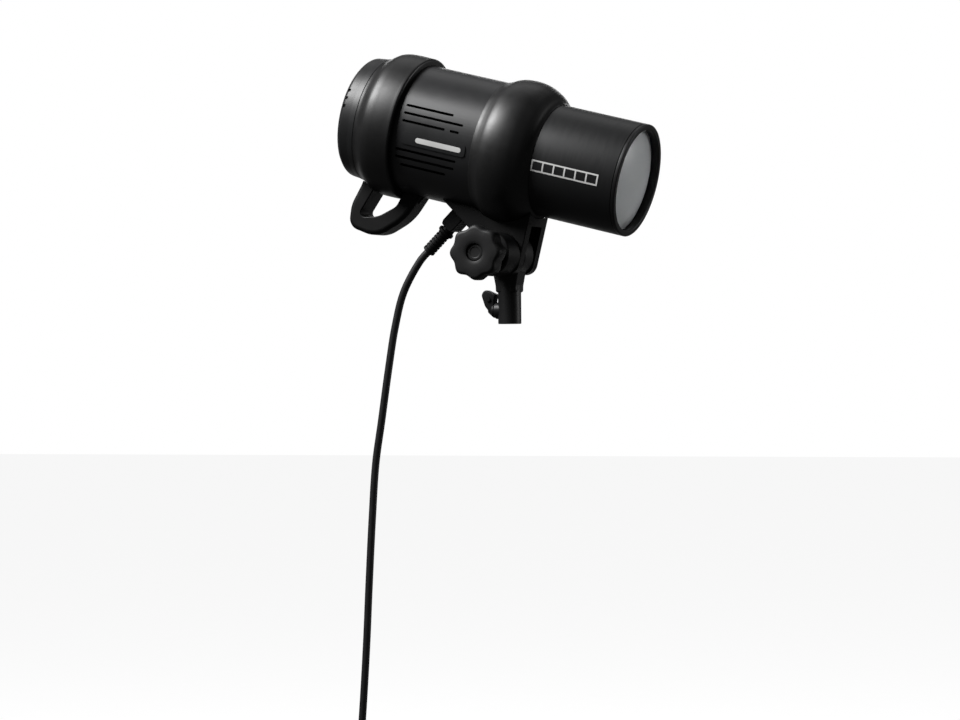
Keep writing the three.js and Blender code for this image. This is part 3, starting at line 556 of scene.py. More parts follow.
# the numbers after the colours are in the order of each function's arguments
MATERIALS = {
    "housing": metal_paint("housing_paint", (0.014, 0.0142, 0.015), (0.019, 0.0193, 0.0205), 0.38,
                           0.1),
    "bumper": moulded("soft_touch_rubber", (0.0055, 0.0055, 0.0057), (0.008, 0.008, 0.0083), 0.41,
                      3200, 0.00005, 0.25),
    "cap": moulded("cap_plastic", (0.011, 0.0112, 0.0118), (0.0145, 0.0148, 0.0155), 0.41, 2200,
                   0.00004, 0.25, 0.42),
    "plastic": moulded("black_plastic", (0.0036, 0.0036, 0.0038), (0.0056, 0.0056, 0.0058), 0.5,
                       1700, 0.00008, 0.4, 0.22),
    "knob": moulded("knob_rubber", (0.0075, 0.0075, 0.0078), (0.0105, 0.0105, 0.011), 0.52, 1500,
                    0.00009, 0.45, 0.3),
    "cast": metal_paint("black_powder_coat", (0.0065, 0.0065, 0.0068), (0.0095, 0.0095, 0.01),
                        0.42, 0.05, 700, 0.00006, 0.35),
    # the lug and its boss: a darker copy of the black powder coat, the lug's own black made darker still
    # as painted shade from the barrel above it
    "lug": metal_paint("lug_black_with_painted_shade", (0.0032, 0.0032, 0.0034), (0.005, 0.005, 0.0053), 0.46, 0.0,
                       900, 0.00006, 0.25),
    "tube": machined("anodised_tube", (0.017, 0.0173, 0.018), 0.42, 0.3, (1, 0.04, 0.04), 1600),
    "steel": machined("plated_steel", (0.6, 0.61, 0.63), 0.28, 1.0, (1, 0.06, 0.06)),
    "dish": machined("reflector", (0.86, 0.87, 0.88), 0.24, 1.0, (1, 1, 1), 300),
    "glass": frosted("frosted_glass", (0.93, 0.945, 0.95), 0.3, 0.6, 2400),
    "window": glossy("display_window", (0.006, 0.008, 0.009), 0.07, 0.6),
    "board": glossy("circuit_board", (0.02, 0.09, 0.035), 0.4, 0.1),
    "capacitor": glossy("capacitor_sleeve", (0.004, 0.0045, 0.006), 0.5, 0.1),
    "ceramic": glossy("ceramic", (0.75, 0.73, 0.68), 0.3, 0.4),
    "mark": moulded("pale_print", (0.62, 0.62, 0.61), (0.7, 0.7, 0.69), 0.5, 1800, 0.00003, 0.2),
    "fibre": moulded("pressed_fibre", (0.13, 0.09, 0.06), (0.18, 0.13, 0.08), 0.8, 900, 0.0001,
                     0.5),
    "red": glossy("switch_lens", (0.32, 0.018, 0.012), 0.2, 0.5),
    "cord": moulded("cord_pvc", (0.0085, 0.0085, 0.009), (0.013, 0.013, 0.0135), 0.46, 1300,
                    0.00005, 0.3),
}


# ---- cord pieces ----
def mains_lead():
    path = cord_path()
    mesh = tube_mesh(path, CORD_D / 2)
    smooth(mesh, 60)
    lead = linked("mains_lead_cord", mesh)
    mesh.materials.append(MATERIALS["cord"])
    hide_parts("mains_lead", "mains_lead_coil", "mains_lead_tail")
    lead["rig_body"] = "bracket"
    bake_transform(lead)
    plug = mains_plug()
    tie = coil_tie()


def coil_tie():
    """A hook-and-loop strap round the coil."""
    half = COIL_SIDE * CORD_D / MM / 2
    wide, high = half + 0.7, half + GAP
    thick, width = 1.2, 9
    outer = rectangle((-wide - thick, wide + thick), (-high - thick, high + thick), 4)
    inner = rectangle((-wide, wide), (-high, high), 3)
    strap = boolean(prism(outer, (-width / 2, width / 2)), [prism(inner, (-width, width))])
    turn = Matrix.Rotation(math.radians(155), 4, "Z")
    centre = Vector((COIL_X, -OUTER_TURN, FLOOR_Z + COIL_LIFT)) / MM + Vector((0, 0, half))
    place = Matrix.Translation(centre) @ turn @ Matrix.Translation((COIL_R / MM, 0, 0))
    return piece("coil_strap", moved(eased(strap, 0.25, 2), place), "plastic", "bracket", "coil_tie",
                 place=ROW)


def mains_plug():
    """A moulded two-pin plug lying on its side, with a tapered neck."""
    y, z = PLUG_Y / MM, PLUG_Z / MM
    rear, waist, face, tip = -188, -176, -154, -135
    wide, high, thin = 17, 11, 7       # half sizes
    side = rounded([(rear, z - thin, 3), (waist, z - high, 8), (face, z - high, 2.5),
                    (face, z + high, 2.5), (waist, z + high, 8), (rear, z + thin, 3)], 8)
    body = eased(prism(side, (y - wide, y + wide)), 3.2, 5)
    groove = cylinder(1.1, (y - 30, y + 30), "y", 24)
    grips = [shifted(groove.copy(), waist + 2 + 4 * k, 0, z + up * (high + 0.55))
             for up in (1, -1) for k in range(4)]
    join_x = rear + 3
    neck = ribbed(PLUG_NECK_X / MM, join_x, (4.3, 6.8), 5, (2.5, 4),
                  [(0, 0, 0), (0, 0.35, -0.9), (0.42, 0, -0.85), (0.5, 0, 0.1)])
    neck = lathe(neck + [(join_x, 6.8), (join_x, 0)], facets=48)
    body = join(boolean(body, grips), shifted(neck, 0, y, z))
    plug = piece("plug_body", body, "plastic", "bracket", "mains_plug", place=ROW)
    pins = []
    root = face - 5.7
    for k, offset in enumerate((9.5, -9.5)):
        pin = lathe([(root, 0), (root, 2.4), (tip - 1.4, 2.4), (tip - 0.4, 1.9), (tip, 1.2), (tip, 0)],
                    facets=40)
        pins.append(piece(f"plug_prong_{k + 1}", shifted(pin, 0, y + offset, z), "steel", "bracket",
                          f"plug_pin_{k + 1}", place=ROW))
    return [plug, *pins]


def ribbed(start, stop, radii, ribs, margins, groove):
    """A strain relief's outline but for its end: a taper with grooves across it. Each corner of a
    groove is a share of the pitch, a length to add to it, and a rise from the taper."""
    first, last = radii
    points = [(start, 0), (start, first - 0.5), (start + 0.5, first)]
    pitch = (stop - start - margins[1]) / ribs
    for k in range(ribs):
        along = start + margins[0] + k * pitch
        radius = first + (last - first) * (along - start) / (stop - start)
        points += [(along + pitch * share + more, radius + rise) for share, more, rise in groove]
    return points


# ---- barrel shells ----
HOUSING_R = 59
# outlines as (along, radius)
REAR_BULGE = [(-134.6, 57.1), (-131.8, 58.1), (-129, 59.9), (-126, 62.1), (-122.5, 64), (-118, 65),
              (-112, 65.3), (-105, 65.3), (-99, 65.1)]
FRONT_BULGE = [(-16.6, 59.8), (-13.4, 60.7), (-10, 62.2), (-6, 64.1), (-1, 65.4), (6, 65.9), (13, 65.4),
               (19.5, 63.9), (25, 61.5), (29.6, 58.8), (33, 55.8), (35.6, 52.8), (37.2, 51.5)]
# height, rear end and front end of each cooling slot
SLOTS = [(20.8, -88.5, -41.5), (13.9, -88.5, -29.5), (6.9, -88, -45.5), (6.9, -40.5, -31.5),
         (-18.8, -90, -30), (-25.5, -90, -31.5), (-32, -85, -40)]
SLOT_HALF = 1.1
NOTCH_PITCH = math.radians(7.8)    # up from the barrel's right side


def bulged(points):
    """A smooth outline through (along, radius) points."""
    return [(p.x, p.y) for p in catmull([(x, r, 0) for x, r in points], 0.6)]


def barrel_space():
    """The room the shells take, with a small gap, for cutting what sits under them."""
    return lathe([(-154, 0), (-154, 52.5), (-150.4, 55.1), (-141, 56.5), (-134.8, 57.6),
                  (-130.2, 59.5), (-126.3, 62.6), (-122.2, 64.6), (-116, 65.5), (-97.7, 65.5),
                  (-94.7, 63.6), (-94.7, 59.3), (-17.3, 59.3), (-17.3, 60.1), (-11.3, 62),
                  (-6.2, 64.7), (0, 65.8), (6, 66.1), (14.2, 65.6), (21.3, 63.6), (27.3, 60.7),
                  (32.4, 57.2), (36.4, 53), (38.4, 51.8), (39, 50.8), (130, 50.8), (130, 0)])


def reach(side, near, far):
    """A span along Y on the left (1) or right (-1) side."""
    return (near, far) if side > 0 else (-far, -near)


def stadium(xs, z, half, ys):
    """A round-ended bar for cutting a slot in the barrel's side."""
    return prism(rectangle(xs, (z - half, z + half), half * 0.98), ys)


def barrel_shells():
    cap = lathe(rounded([(-134.9, 54.6), (-134.9, 57, 0.6), (-141, 55.7, 14), (-150, 54.8, 5),
                         (-153, 51.6, 1.2), (-153, 46.5, 0.5), (-149.6, 46.5), (-149.6, 51.2),
                         (-141, 53.4)], 8))
    notches = []
    for step in (1, 2, 3):
        notch = prism(rectangle((-150.7, -147.7), (-1.5, 1.5), 0.6, 4), (-60, -52.8))
        notches.append(moved(notch, Matrix.Rotation(-step * NOTCH_PITCH, 4, "X")))
    piece("rear_cap_shell", boolean(cap, notches), "cap", "head", "rear_cap")
    under = HOUSING_R + GAP
    rear = [(-134.6, 55)] + bulged(REAR_BULGE) + arc((-97.2, 62.9), 2.2, 85, 0, 8)
    rear += [(-95, under), (-127.3, under), (-127.3, 55)]
    front = [(-17, under), (-17, 59.6)] + bulged(FRONT_BULGE)
    front += [(38, 51.2), (38, 50.9), (30, 50.9), (24, 56.6), (21, under)]
    for name, outline in (("rear", rear), ("front", front)):
        piece(f"{name}_bumper_ring", lathe(outline), "bumper", "head", f"{name}_bumper")
    ring = [(-127, 56.8), (-127, HOUSING_R), (14, HOUSING_R), (14, 56.8)]
    for name, side in (("left", 1), ("right", -1)):
        half = block((-140, 40), reach(side, 0.15, 70), (-70, 70))
        shell = boolean(lathe(ring, facets=180), [half], "INTERSECT")
        cuts = [stadium((start, stop), z, SLOT_HALF, reach(side, 30, 70)) for z, start, stop in SLOTS]
        piece(f"housing_shell_{name}", boolean(shell, cuts), "housing", "head", f"housing_{name}")
        badge(name, side)


def badge(name, side):
    """A blank name plate with a plain printed bar."""
    for kind, radii, across, up, corner in (("plate", (59.2, 59.7), (-86, -22), (-13.4, -2.4), 3),
                                            ("bar", (59.6, 59.85), (-71, -26), (-10.2, -5.6), 2.2)):
        low, high = radii
        skin = lathe([(-90, low), (-90, high), (-10, high), (-10, low)], facets=240)
        window = prism(rectangle(across, up, corner), reach(side, 30, 70))
        mesh = boolean(skin, [window], "INTERSECT")
        if kind == "plate":
            piece(f"badge_plate_{name}", mesh, "housing", "head", f"badge_{name}", slot="badge")
        else:
            piece(f"badge_bar_{name}", mesh, "mark", "head")


# ---- light source ----
TUBE_R = 50.5
TUBE_BORE = 47.5
TUBE_END = 117


def light_source():
    tube = lathe(rounded([(17.6, TUBE_BORE), (17.6, 56), (20.6, 56), (20.6, TUBE_R),
                          (TUBE_END, TUBE_R, 0.6), (TUBE_END, TUBE_BORE)], 4))
    piece("accessory_tube", tube, "tube", "head", "mount_tube")
    piece("scale_marks", scale_marks(), "mark", "head")
    rear, front, lip = TUBE_END + GAP, 120.6, 45.2
    ring = lathe(rounded([(rear, lip), (rear, TUBE_R, 0.4), (front, TUBE_R, 0.9), (front, lip, 0.8)], 5))
    piece("front_ring", ring, "cast", "head", "retaining_ring")
    crown, rise, edge, thick = 122, 9.6, 46.6, 2
    radii = [edge * k / 14 for k in range(15)]
    dome = [(crown - rise * (r / edge) ** 2.1, r) for r in radii]
    back = [(x - thick, r) for x, r in reversed(dome)]
    piece("glass_dome", lathe(dome + back), "glass", "head", "front_glass")
    bowl = [(36, 27), (46, 32, 30), (56, 37, 40), (70, 42, 60), (88, 45.2, 80), (104, 46.3)]
    inner = rounded(bowl, 8, closed=False)
    outer = [Vector((p.x, p.y + 0.8)) for p in reversed(inner)]
    piece("reflector_bowl", lathe(inner + outer), "dish", "head", "reflector_dish")


def scale_marks():
    """A ladder of plain boxes for the accessory's place on the tube, on both sides."""
    shell = [(30, 50.45), (30, 50.62), (116, 50.62), (116, 50.45)]
    pitch, boxes, first = 10.5, 6, 39.5
    last = first + pitch * boxes
    rails, half = (-1.6, -10.4), 0.7
    marks = []
    for side in (1, -1):
        ys = reach(side, 40, 60)
        windows = [block((first - half, last + half), ys, (z - half, z + half)) for z in rails]
        for k in range(boxes + 1):
            x = first + pitch * k
            windows.append(block((x - half, x + half), ys, (rails[1] + 0.6, rails[0] - 0.6)))
        marks += [boolean(lathe(shell, facets=240), [window], "INTERSECT") for window in windows]
    return join(*marks)


# ---- control panel ----
PANEL_X = (-152.6, -150.2)
PANEL_R = 46.2
WINDOW = ((-17, 17), (14, 32))
WINDOW_FACE = -153
BUTTONS = [(-27, 2), (-27, -10), (27, 2), (27, -10)]
BUTTON_HALF = (4.5, 2.75)
SWITCH = ((-6.5, 6.5), (-41, -30))
JACK = (22, -28)
EYE = (0, 39.5)
EYE_R = 4.5
DIAL_Z = -4
PRINT = (0.12, 0.1)                # how far the print stands out of a face, and into it


def grown(span, by):
    return (span[0] - by, span[1] + by)


def about(middle, half):
    return (middle - half, middle + half)


def printed(face):
    return (face - PRINT[0], face + PRINT[1])


def control_panel():
    through = grown(PANEL_X, 4)
    face, back = PANEL_X
    disc = lathe(rounded([(back, 0), (back, PANEL_R), (face, PANEL_R, 0.5), (face, 0)], 3,
                         closed=False))
    cuts = [block(through, grown(WINDOW[0], GAP), grown(WINDOW[1], GAP), 1.6),
            shifted(cylinder(3.3, through), z=DIAL_Z),
            shifted(cylinder(4.3, through), 0, *JACK),
            shifted(cylinder(EYE_R + GAP, through), 0, *EYE),
            block(through, grown(SWITCH[0], 1.5), grown(SWITCH[1], 1.5), 1)]
    half_y, half_z = BUTTON_HALF
    for y, z in BUTTONS:
        cuts.append(block(through, about(y, half_y + GAP), about(z, half_z + GAP), 1.9))
    piece("panel_face", eased(boolean(disc, cuts), 0.25, 2, 50), "plastic", "head", "control_panel",
          flats=True)
    window = eased(block((WINDOW_FACE, -149.8), *WINDOW, 1.4), 0.3, 3)
    piece("display_glass", window, "window", "head", "display_window", flats=True)
    ticks = []
    for k in range(11):
        tick = block(printed(face), (-0.3, 0.3), (14.2, 16.2 if k % 5 else 17.2))
        turn = Matrix.Rotation(math.radians(-135 + 27 * k), 4, "X")
        ticks.append(moved(tick, Matrix.Translation((0, 0, DIAL_Z)) @ turn))
    for y, z in BUTTONS:
        ticks.append(block(printed(face), about(y, 2), (z + 4.2, z + 4.7)))
    piece("panel_marks", join(*ticks), "mark", "head")
    piece("display_digits", display_digits(), "mark", "head")
    for k, (y, z) in enumerate(BUTTONS):
        cap = block((face - 1.2, back + 0.5), about(y, half_y), about(z, half_z), 1.7)
        piece(f"button_cap_{k + 1}", eased(cap, 0.55, 4), "knob", f"key_{k + 1}", f"button_{k + 1}",
              flats=True)
    dial()
    rocker()
    rear, rim = -147.6, -152.9
    eye = lathe([(rear, 0), (rear, EYE_R), (rim, EYE_R)]
                + [(rim - 3.5 * math.sin(math.radians(a)), EYE_R * math.cos(math.radians(a)))
                   for a in range(10, 90, 10)] + [(rim - 3.5, 0)], facets=48)
    piece("sensor_dome", shifted(eye, 0, *EYE), "red", "head", "slave_sensor", slot="clear_window")
    jack = lathe(rounded([(rear, 1.9), (rear, 4), (-154, 4, 0.5), (-154, 1.9, 0.5)], 4), facets=48)
    piece("jack_ring", shifted(jack, 0, *JACK), "steel", "head", "sync_jack")


def display_digits():
    """Two lit digits on the display, from bars, with a point between them."""
    # middle and size across Y and Z; the second bar is the one across the middle
    bars = [(0, 4, 2.6, 0.7), (0, 0, 2.6, 0.7), (0, -4, 2.6, 0.7)]
    bars += [(y, z, 0.7, 3) for z in (2, -2) for y in (-1.7, 1.7)]
    lit = (WINDOW_FACE - 0.06, WINDOW_FACE + 0.1)
    middle = sum(WINDOW[1]) / 2
    out = []
    for centre, used in ((5, bars), (-5, bars[:1] + bars[2:])):
        for y, z, wide, high in used:
            out.append(block(lit, about(centre - y, wide / 2), about(middle + z, high / 2)))
    out.append(block(lit, (-0.5, 0.5), (18.4, 19.4)))
    return join(*out)


def dial():
    """The power dial: a fluted skirt with a dished face and a pointer."""
    face = PANEL_X[0] - GAP
    deep, flutes = 9.4, 36
    outline = []
    for k in range(flutes * 6):
        a = 2 * math.pi * k / (flutes * 6)
        r = 11.7 + 0.3 * math.cos(flutes * a)
        outline.append((r * math.cos(a), r * math.sin(a)))
    skirt = prism(outline, (face - deep, face), "x")
    dish = lathe([(face - 12, 0), (face - 12, 9.5), (face - deep, 9.5), (face - 8.9, 8.4),
                  (face - 8.6, 0)], facets=72)
    shaft = cylinder(3, (face - 1, -147.2), facets=48)
    body = boolean(eased(skirt, 0.5, 3, 60), [dish])
    piece("dial_knob", shifted(join(body, shaft), z=DIAL_Z), "knob", "dial", "control_dial")
    pointer = block((face - deep - 0.15, face - 8.5), (-0.5, 0.5), (4, 11))
    piece("dial_pointer", shifted(pointer, z=DIAL_Z), "mark", "dial")


def rocker():
    rear, front = PANEL_X[0] - 0.8, PANEL_X[1] + 6
    outer = block((rear, front), grown(SWITCH[0], 1.2), grown(SWITCH[1], 1.2), 1.4)
    hole = block((rear - 1, front - 1.5), grown(SWITCH[0], 0.1), grown(SWITCH[1], 0.1), 0.5)
    piece("rocker_bezel", eased(boolean(outer, [hole]), 0.3, 2), "plastic", "head", "switch_bezel",
          flats=True)
    x = PANEL_X[0] + 1.2               # the rocker's pivot
    z = sum(SWITCH[1]) / 2
    shape = rounded([(x - 3.2, z - 4.9, 0.6), (x - 1.5, z, 14), (x - 1.0, z + 4.9, 0.6),
                     (x + 2.2, z + 2.4, 0.4), (x + 2.2, z - 2.4, 0.4)], 5)
    piece("rocker_lens", eased(prism(shape, (-6.1, 6.1)), 0.4, 3, 40), "red", "rocker", "power_switch",
          flats=True)


# ---- under the barrel ----
HANDLE_HALF = 13.5
LUG_HALF = 22
LUG_R = 20                         # round rear end about the tilt axis
LUG_FRONT = 20.3                   # front edge, ahead of the tilt axis
LUG_DROP = 16                      # flat foot, below the tilt axis
LUG_TOE_R = 11                     # rounded lower front corner
CHEEK_Y = 11.8                     # inner faces of the two cheeks
CHEEK_SLOT_R = 24.6
BOLT_BORE_R = 5.35


def handle():
    outer = rounded([(-134, -40), (-136.6, -60, 30), (-142.6, -80, 30), (-140.5, -100, 11),
                     (-111, -104, 26), (-86.5, -82, 50), (-75, -55), (-84, -50), (-100, -40)], 12)
    hole = rounded([(-121, -58), (-132.8, -89.5, 4), (-113, -85, 24), (-97, -72, 12), (-93, -58),
                    (-96, -48), (-118, -48)], 10)
    strap = eased(prism(outer, about(0, HANDLE_HALF)), 4.5, 6)
    strap = boolean(strap, [prism(hole, about(0, HANDLE_HALF + 5))])
    mesh = boolean(eased(strap, 3.4, 5, 50), [barrel_space()])
    piece("carry_handle", mesh, "plastic", "head", "handle", flats=True)
    screw = lathe([(-0.6, 0), (-0.6, 3.6), (1, 3.6), (1.7, 2.6), (1.7, 0)], facets=40)
    slot = block((0.9, 3), (-0.5, 0.5), (-4, 4))
    head = boolean(screw, [slot, moved(slot.copy(), Matrix.Rotation(math.pi / 2, 4, "X"))])
    place = Matrix.Translation((-78.7, -4, -62.2)) @ Matrix.Rotation(math.radians(24), 4, "Y")
    piece("handle_screw", moved(head, place), "cast", "head")


def mount_lug():
    meet = math.sqrt(LUG_R ** 2 - INLET_OFFSET ** 2)
    notch = on_slant(INLET_OFFSET, -meet)
    start = math.degrees(math.atan2(notch[1] + AXIS_HIGH, notch[0] - PIVOT_X))
    front = PIVOT_X + LUG_FRONT
    stop = 180 + math.degrees(math.asin(LUG_DROP / LUG_R))
    outline = [on_slant(INLET_OFFSET, -78)]
    outline += arc((PIVOT_X, -AXIS_HIGH), LUG_R, start, stop, 24)
    outline += arc((front - LUG_TOE_R, -AXIS_HIGH - LUG_DROP + LUG_TOE_R), LUG_TOE_R, 270, 360, 14)
    outline += [(front, -40), (-40, -40)]
    solid = eased(prism(outline, about(0, LUG_HALF)), 3.2, 5, 40)
    cheeks = about(0, CHEEK_Y)
    tools = [barrel_space(), off_slant(block((-4.3, 5), (-11, 11), (-8, 8), 1.5))]
    for tool in (cylinder(CHEEK_SLOT_R, cheeks, "y", 96), block((0, 40), cheeks, (-14, 30)),
                 block((-14, 40), cheeks, (-30, 0)), cylinder(BOLT_BORE_R, (-40, 40), "y", 48)):
        tools.append(shifted(tool, PIVOT_X, 0, -AXIS_HIGH))
    # its material is the black powder coat darkened as painted shade from the barrel above
    piece("lug_casting", eased(boolean(solid, tools), 0.9, 3, 45), "lug", "head", "mount_lug",
          flats=True)


def mains_inlet():
    """The inlet's flange on the slanted face, and the connector pushed into it."""
    plate = eased(block((GAP, 1.9), (-12.5, 12.5), (-10, 10), 3), 0.5, 3)
    core = block((-4, 1), (-10.6, 10.6), (-7.6, 7.6), 1)
    mesh = boolean(off_slant(boolean(plate, [core], "UNION")), [barrel_space()])
    piece("inlet_flange", mesh, "plastic", "head", "mains_inlet", flats=True)
    start, stop = 2.2, 26              # the connector's two ends
    high, low = 7, 5.4                 # half heights in front of and behind its step
    step, rear = start + 13.6, start + 17
    side = rounded([(start, -high, 1), (start, high, 1), (step, high, 3), (rear, low, 2),
                    (rear, -low, 2), (step, -high, 3)], 6)
    body = eased(prism(side, (-10, 10)), 2.4, 6, 50)
    waist = cylinder(5.7, (start + 14, stop - 2), facets=64)
    collar = lathe(rounded([(stop - 3.4, 0), (stop - 3.4, 7.6, 1.1), (stop, 7.6, 1.1), (stop, 0)], 5,
                           closed=False), facets=72)
    grips = [shifted(cylinder(0.9, (-7, 7), "y", 20), start + 3 + 2.2 * k, 0, z)
             for k in range(5) for z in (-7.5, 7.5)]
    body = boolean(boolean(body, grips), [waist, collar], "UNION")
    piece("connector_body", off_slant(body), "plastic", "head", "mains_connector", flats=True)
    thick = 5.9
    boot = ribbed(stop + GAP, RELIEF_END, (thick, thick), 6, (1.6, 3),
                  [(0, 0, 0), (0, 0.3, -1.1), (0.4, 0, -1.1), (0.4, 0.3, -0.1)])
    boot += [(RELIEF_END - 0.7, thick), (RELIEF_END, thick - 0.7), (RELIEF_END, 0)]
    piece("relief_boot", off_slant(lathe(boot, facets=64)), "plastic", "head", "strain_relief")


# ---- tilt joint ----
BOSS_OUT = 48                      # outer face of the boss on the lug
KNOB_Y = (-79.5, -BOSS_OUT - GAP)
KNOB_GRIP = 19                     # depth of the lobed part
HUB_R = 7.6
LUG_SIDE = LUG_HALF + GAP          # where the boss and the nut meet the lug


def tilt_joint():
    face = KNOB_Y[0]
    piece("tilt_knob_grip", tilt_knob(), "knob", "knob", "tilt_knob", place=PIVOT_ROW)
    deep = face + 3.7
    cap = lathe(rounded([(deep, 0), (deep, 7.2), (deep - 1.3, 7.2, 0.4), (deep - 1.3, 5, 0.4),
                         (deep - 0.9, 4.4, 0.4), (deep - 0.9, 0)], 4, closed=False), "y", 72)
    piece("knob_hub_cap", cap, "knob", "knob", "knob_cap", slot="dark_metal", place=PIVOT_ROW)
    bolt = lathe([(face + 10.3, 0), (face + 10.3, 5), (28.3, 5), (29, 4.3), (29, 0)], "y", 64)
    piece("tilt_bolt_shaft", bolt, "steel", "knob", "tilt_bolt", slot="dark_metal", place=PIVOT_ROW)
    boss = lathe(rounded([(-BOSS_OUT, BOLT_BORE_R), (-BOSS_OUT, LUG_R, 1.6), (-LUG_SIDE, LUG_R),
                          (-LUG_SIDE, BOLT_BORE_R)], 6), "y", 120)
    # its material is the black powder coat darkened as painted shade from the barrel above
    piece("lug_boss", boss, "lug", "head", "knob_boss", place=HEAD_PIVOT)
    sixths = [math.radians(60 * k) for k in range(6)]
    hexagon = prism([(9.2 * math.sin(a), 9.2 * math.cos(a)) for a in sixths], (LUG_SIDE, 30))
    cone = lathe([(15, 0), (15, 16), (24.5, 16), (30.2, 7.6), (30.2, 0)], "y", 72)
    nut = boolean(boolean(hexagon, [cone], "INTERSECT"), [cylinder(BOLT_BORE_R, (20, 40), "y", 48)])
    piece("tilt_hex_nut", eased(nut, 0.3, 2, 30), "steel", "head", "tilt_nut", slot="dark_metal",
          place=HEAD_PIVOT)


def tilt_knob():
    """A moulded knob as one skin: a crowned face round a recessed hub, eight soft lobes, and a
    neck that narrows to the boss."""
    face, back = KNOB_Y
    lobes, around = 8, 192
    grip = face + KNOB_GRIP
    # along Y, mean radius, share of the lobes' wave
    profile = [(face + 10, 0, 0), (face + 10, BOLT_BORE_R, 0), (face + 4, BOLT_BORE_R, 0),
               (face + 4, HUB_R - 0.4, 0), (face + 3.6, HUB_R, 0), (face + 1.6, HUB_R, 0),
               (face + 0.9, HUB_R + 0.4, 0), (face + 0.5, HUB_R + 1.2, 0), (face + 0.25, 11, 0),
               (face, 15, 0.1), (face + 0.2, 18, 0.4)]
    for k in range(9):
        a = math.radians(90 * k / 8)
        along = face + 0.4 + 3.4 * (1 - math.cos(a))
        profile.append((along, 19.5 + 3.4 * math.sin(a), 0.55 + 0.45 * k / 8))
    profile += [(face + 9, 22.9, 1), (grip - 3.4, 22.7, 1), (grip - 1.2, 22, 0.9), (grip, 20.6, 0.6),
                (grip + 1.6, 19, 0.2), (grip + 4, 16.8, 0), (grip + 7, 15, 0), (back - 2.4, 14, 0),
                (back - 0.5, 13.6, 0), (back, 13.1, 0), (back, BOLT_BORE_R, 0),
                (face + 10.4, BOLT_BORE_R, 0), (face + 10.4, 0, 0)]
    bm = bmesh.new()
    rings = []
    for along, radius, share in profile:
        if radius < ON_AXIS:
            rings.append([bm.verts.new((0, along, 0))] * around)
            continue
        ring = []
        for k in range(around):
            a = 2 * math.pi * k / around
            r = radius + 1.4 * share * math.cos(lobes * a)
            ring.append(bm.verts.new((r * math.cos(a), along, r * math.sin(a))))
        rings.append(ring)
    bridge(bm, rings)
    return closed(bm)


# ---- stand bracket ----
SOCKET_R = 10.4
SOCKET_TOP = 39
TONGUE_HALF = 9.5
LOCK_Z = 12
LOCK_HUB_X = -13                   # outer face of the boss that the lock screw runs in


def stand_bracket():
    socket = lathe(rounded([(0, 0), (0, SOCKET_R, 0.8), (SOCKET_TOP, SOCKET_R), (SOCKET_TOP, 0)], 4,
                           closed=False), "z", 96)
    thick = about(0, TONGUE_HALF)
    neck = eased(prism(rounded([(-10, 28), (10, 28), (10.2, 34, 10), (13.4, 50, 12), (15.4, PIVOT_Z),
                                (-15.4, PIVOT_Z), (-13.4, 50, 12), (-10.2, 34, 10)], 6), thick),
                 2.2, 4)
    tongue = shifted(eased(cylinder(20, thick, "y", 120), 1.2, 3), z=PIVOT_Z)
    boss = lathe(rounded([(LOCK_HUB_X, 0), (LOCK_HUB_X, 7.5, 0.8), (0, 7.5), (0, 0)], 4, closed=False),
                 facets=64)
    solid = boolean(socket, [neck, tongue, shifted(boss, z=LOCK_Z)], "UNION")
    solid = boolean(solid, [cylinder(8.1, (-1, 34), "z", 72),
                            shifted(cylinder(4.35, (-20, 0), facets=40), z=LOCK_Z),
                            shifted(cylinder(BOLT_BORE_R, (-20, 20), "y", 48), z=PIVOT_Z)])
    piece("bracket_casting", solid, "cast", "bracket", "stand_bracket", place=ROW, flats=True)
    for name, side in (("left", 1), ("right", -1)):
        near, far = side * (TONGUE_HALF + GAP), side * (CHEEK_Y - GAP)
        ring = rounded([(near, BOLT_BORE_R), (near, 16, 0.3), (far, 16, 0.3), (far, BOLT_BORE_R)], 3)
        piece(f"friction_washer_{name}", lathe(ring, "y", 72), "fibre", "bracket", f"washer_{name}",
              place=PIVOT_ROW)


def stand_lock():
    screw = lathe([(-17.7, 0), (-17.7, 4), (-9.2, 4), (-8.6, 3.2), (-8.6, 0)], facets=48)
    piece("lock_screw_shaft", shifted(screw, z=LOCK_Z), "steel", "lock", "lock_screw", place=ROW)
    near = LOCK_HUB_X - GAP
    hub = lathe(rounded([(near, 0), (near, 6.6, 0.6), (-15.4, 6.2, 2), (-20.6, 1.8, 1), (-20.6, 0)], 5,
                        closed=False), facets=72)
    arm = eased(prism(rounded([(near, 11), (-18.6, 11), (-22.6, 16, 8), (-26, 26, 4), (-23, 31.6, 4),
                               (-11.8, 26.6, 1.4), (near, 21)], 8), (-4.5, 4.5)), 1.7, 5)
    rivet = lathe([(-1, 0), (-1, 2.1), (0.5, 2.1), (0.9, 1.6), (0.9, 0)], "y", 32)
    bore = shifted(cylinder(4.3, (-18, -12), facets=40), z=LOCK_Z)
    lever = boolean(boolean(shifted(hub, z=LOCK_Z), [arm], "UNION"), [bore])
    piece("lock_lever_wing", join(lever, shifted(rivet, -19, -5, 22.5)), "plastic", "lock",
          "lock_lever", place=ROW)


# ---- inside ----
def inside():
    """CAD pieces that stay as they are, with their materials."""
    looks = {"cast": "bulkhead dial_encoder", "steel": "chassis_plate", "bumper": "glass_gasket",
             "glass": "flash_tube modelling_lamp", "ceramic": "tube_base",
             "capacitor": "capacitor_1 capacitor_2 capacitor_3 capacitor_4",
             "board": "power_board control_board", "plastic": "fan_frame fan_rotor"}
    for look, nodes in looks.items():
        for node in nodes.split():
            mesh = frame["nodes"][node].data
            mesh.materials.clear()
            mesh.materials.append(MATERIALS[look])


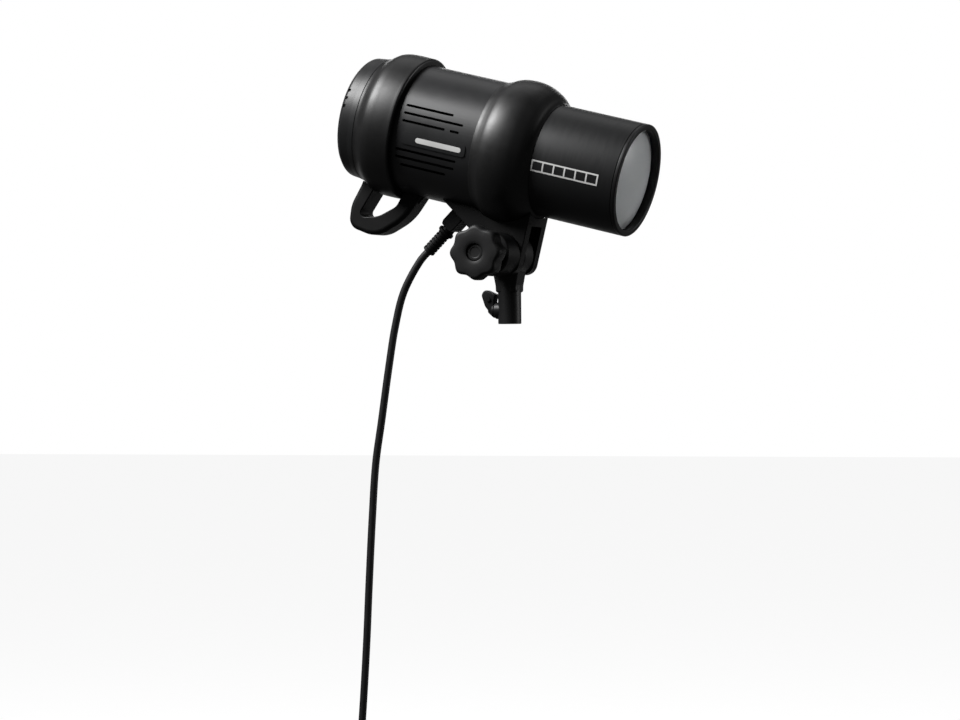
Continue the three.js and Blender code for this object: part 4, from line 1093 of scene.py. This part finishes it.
# ---- stage ----
def pale_floor():
    bm = bmesh.new()
    bm.faces.new([bm.verts.new(corner) for corner in ((-20, -20, 0), (20, -20, 0), (20, 20, 0),
                                                      (-20, 20, 0))])
    floor = linked("floor", as_mesh(bm))
    floor.location = (0, 0, FLOOR_Z - 0.0002)
    white = Nodes("pale_floor")
    grain = white.ramp(white.noise(14, 3), 0.3, 0.7)
    white.set(Base_Color=white.mixed(grain, (0.5, 0.5, 0.5), (0.53, 0.53, 0.53)), Roughness=0.9,
              Emission_Strength=0.9)
    white.shader.inputs["Emission Color"].default_value = (1, 1, 1, 1)
    floor.data.materials.append(white.material)
    floor.visible_diffuse = False
    floor.visible_glossy = False


def studio():
    pale_floor()
    world = bpy.data.worlds.new("studio")
    bpy.context.scene.world = world
    world.use_nodes = True
    tree = world.node_tree
    lit = tree.nodes["Background"]
    seen = tree.nodes.new("ShaderNodeBackground")
    for background, strength in ((lit, 0.05), (seen, 1.0)):
        background.inputs["Color"].default_value = (1, 1, 1, 1)
        background.inputs["Strength"].default_value = strength
    path = tree.nodes.new("ShaderNodeLightPath")
    mix = tree.nodes.new("ShaderNodeMixShader")
    tree.links.new(path.outputs["Is Camera Ray"], mix.inputs["Fac"])
    tree.links.new(lit.outputs["Background"], mix.inputs[1])
    tree.links.new(seen.outputs["Background"], mix.inputs[2])
    tree.links.new(mix.outputs["Shader"], tree.nodes["World Output"].inputs["Surface"])
    lamp("key_softbox", (-1.25, -1.05, 1.75), (1.05, 1.05), 102)
    lamp("top_softbox", (-0.2, 0.9, 1.7), (1.2, 0.9), 2.5)
    lamp("rear_strip", (-0.9, 1.9, 0.7), (1.6, 0.6), 8)
    lamp("front_fill", (2.1, 1.3, 0.5), (1.0, 1.0), 15)
    lamp("white_backdrop", (-1.2, 2.7, -0.1), (3.2, 2.2), 9)


def lamp(name, place, size, power):
    """A soft panel that faces the strobe's head."""
    data = bpy.data.lights.new(name, "AREA")
    data.shape = "RECTANGLE"
    data.size, data.size_y = size
    data.energy = power
    obj = linked(name, data)
    obj.location = place
    obj.rotation_mode = "QUATERNION"
    obj.rotation_quaternion = (Vector((-0.02, 0, 0.13)) - Vector(place)).to_track_quat("-Z", "Y")


bpy.context.scene.view_settings.view_transform = "Standard"
camera()
mains_lead()
barrel_shells()
light_source()
control_panel()
handle()
mount_lug()
mains_inlet()
tilt_joint()
stand_bracket()
stand_lock()
inside()
studio()
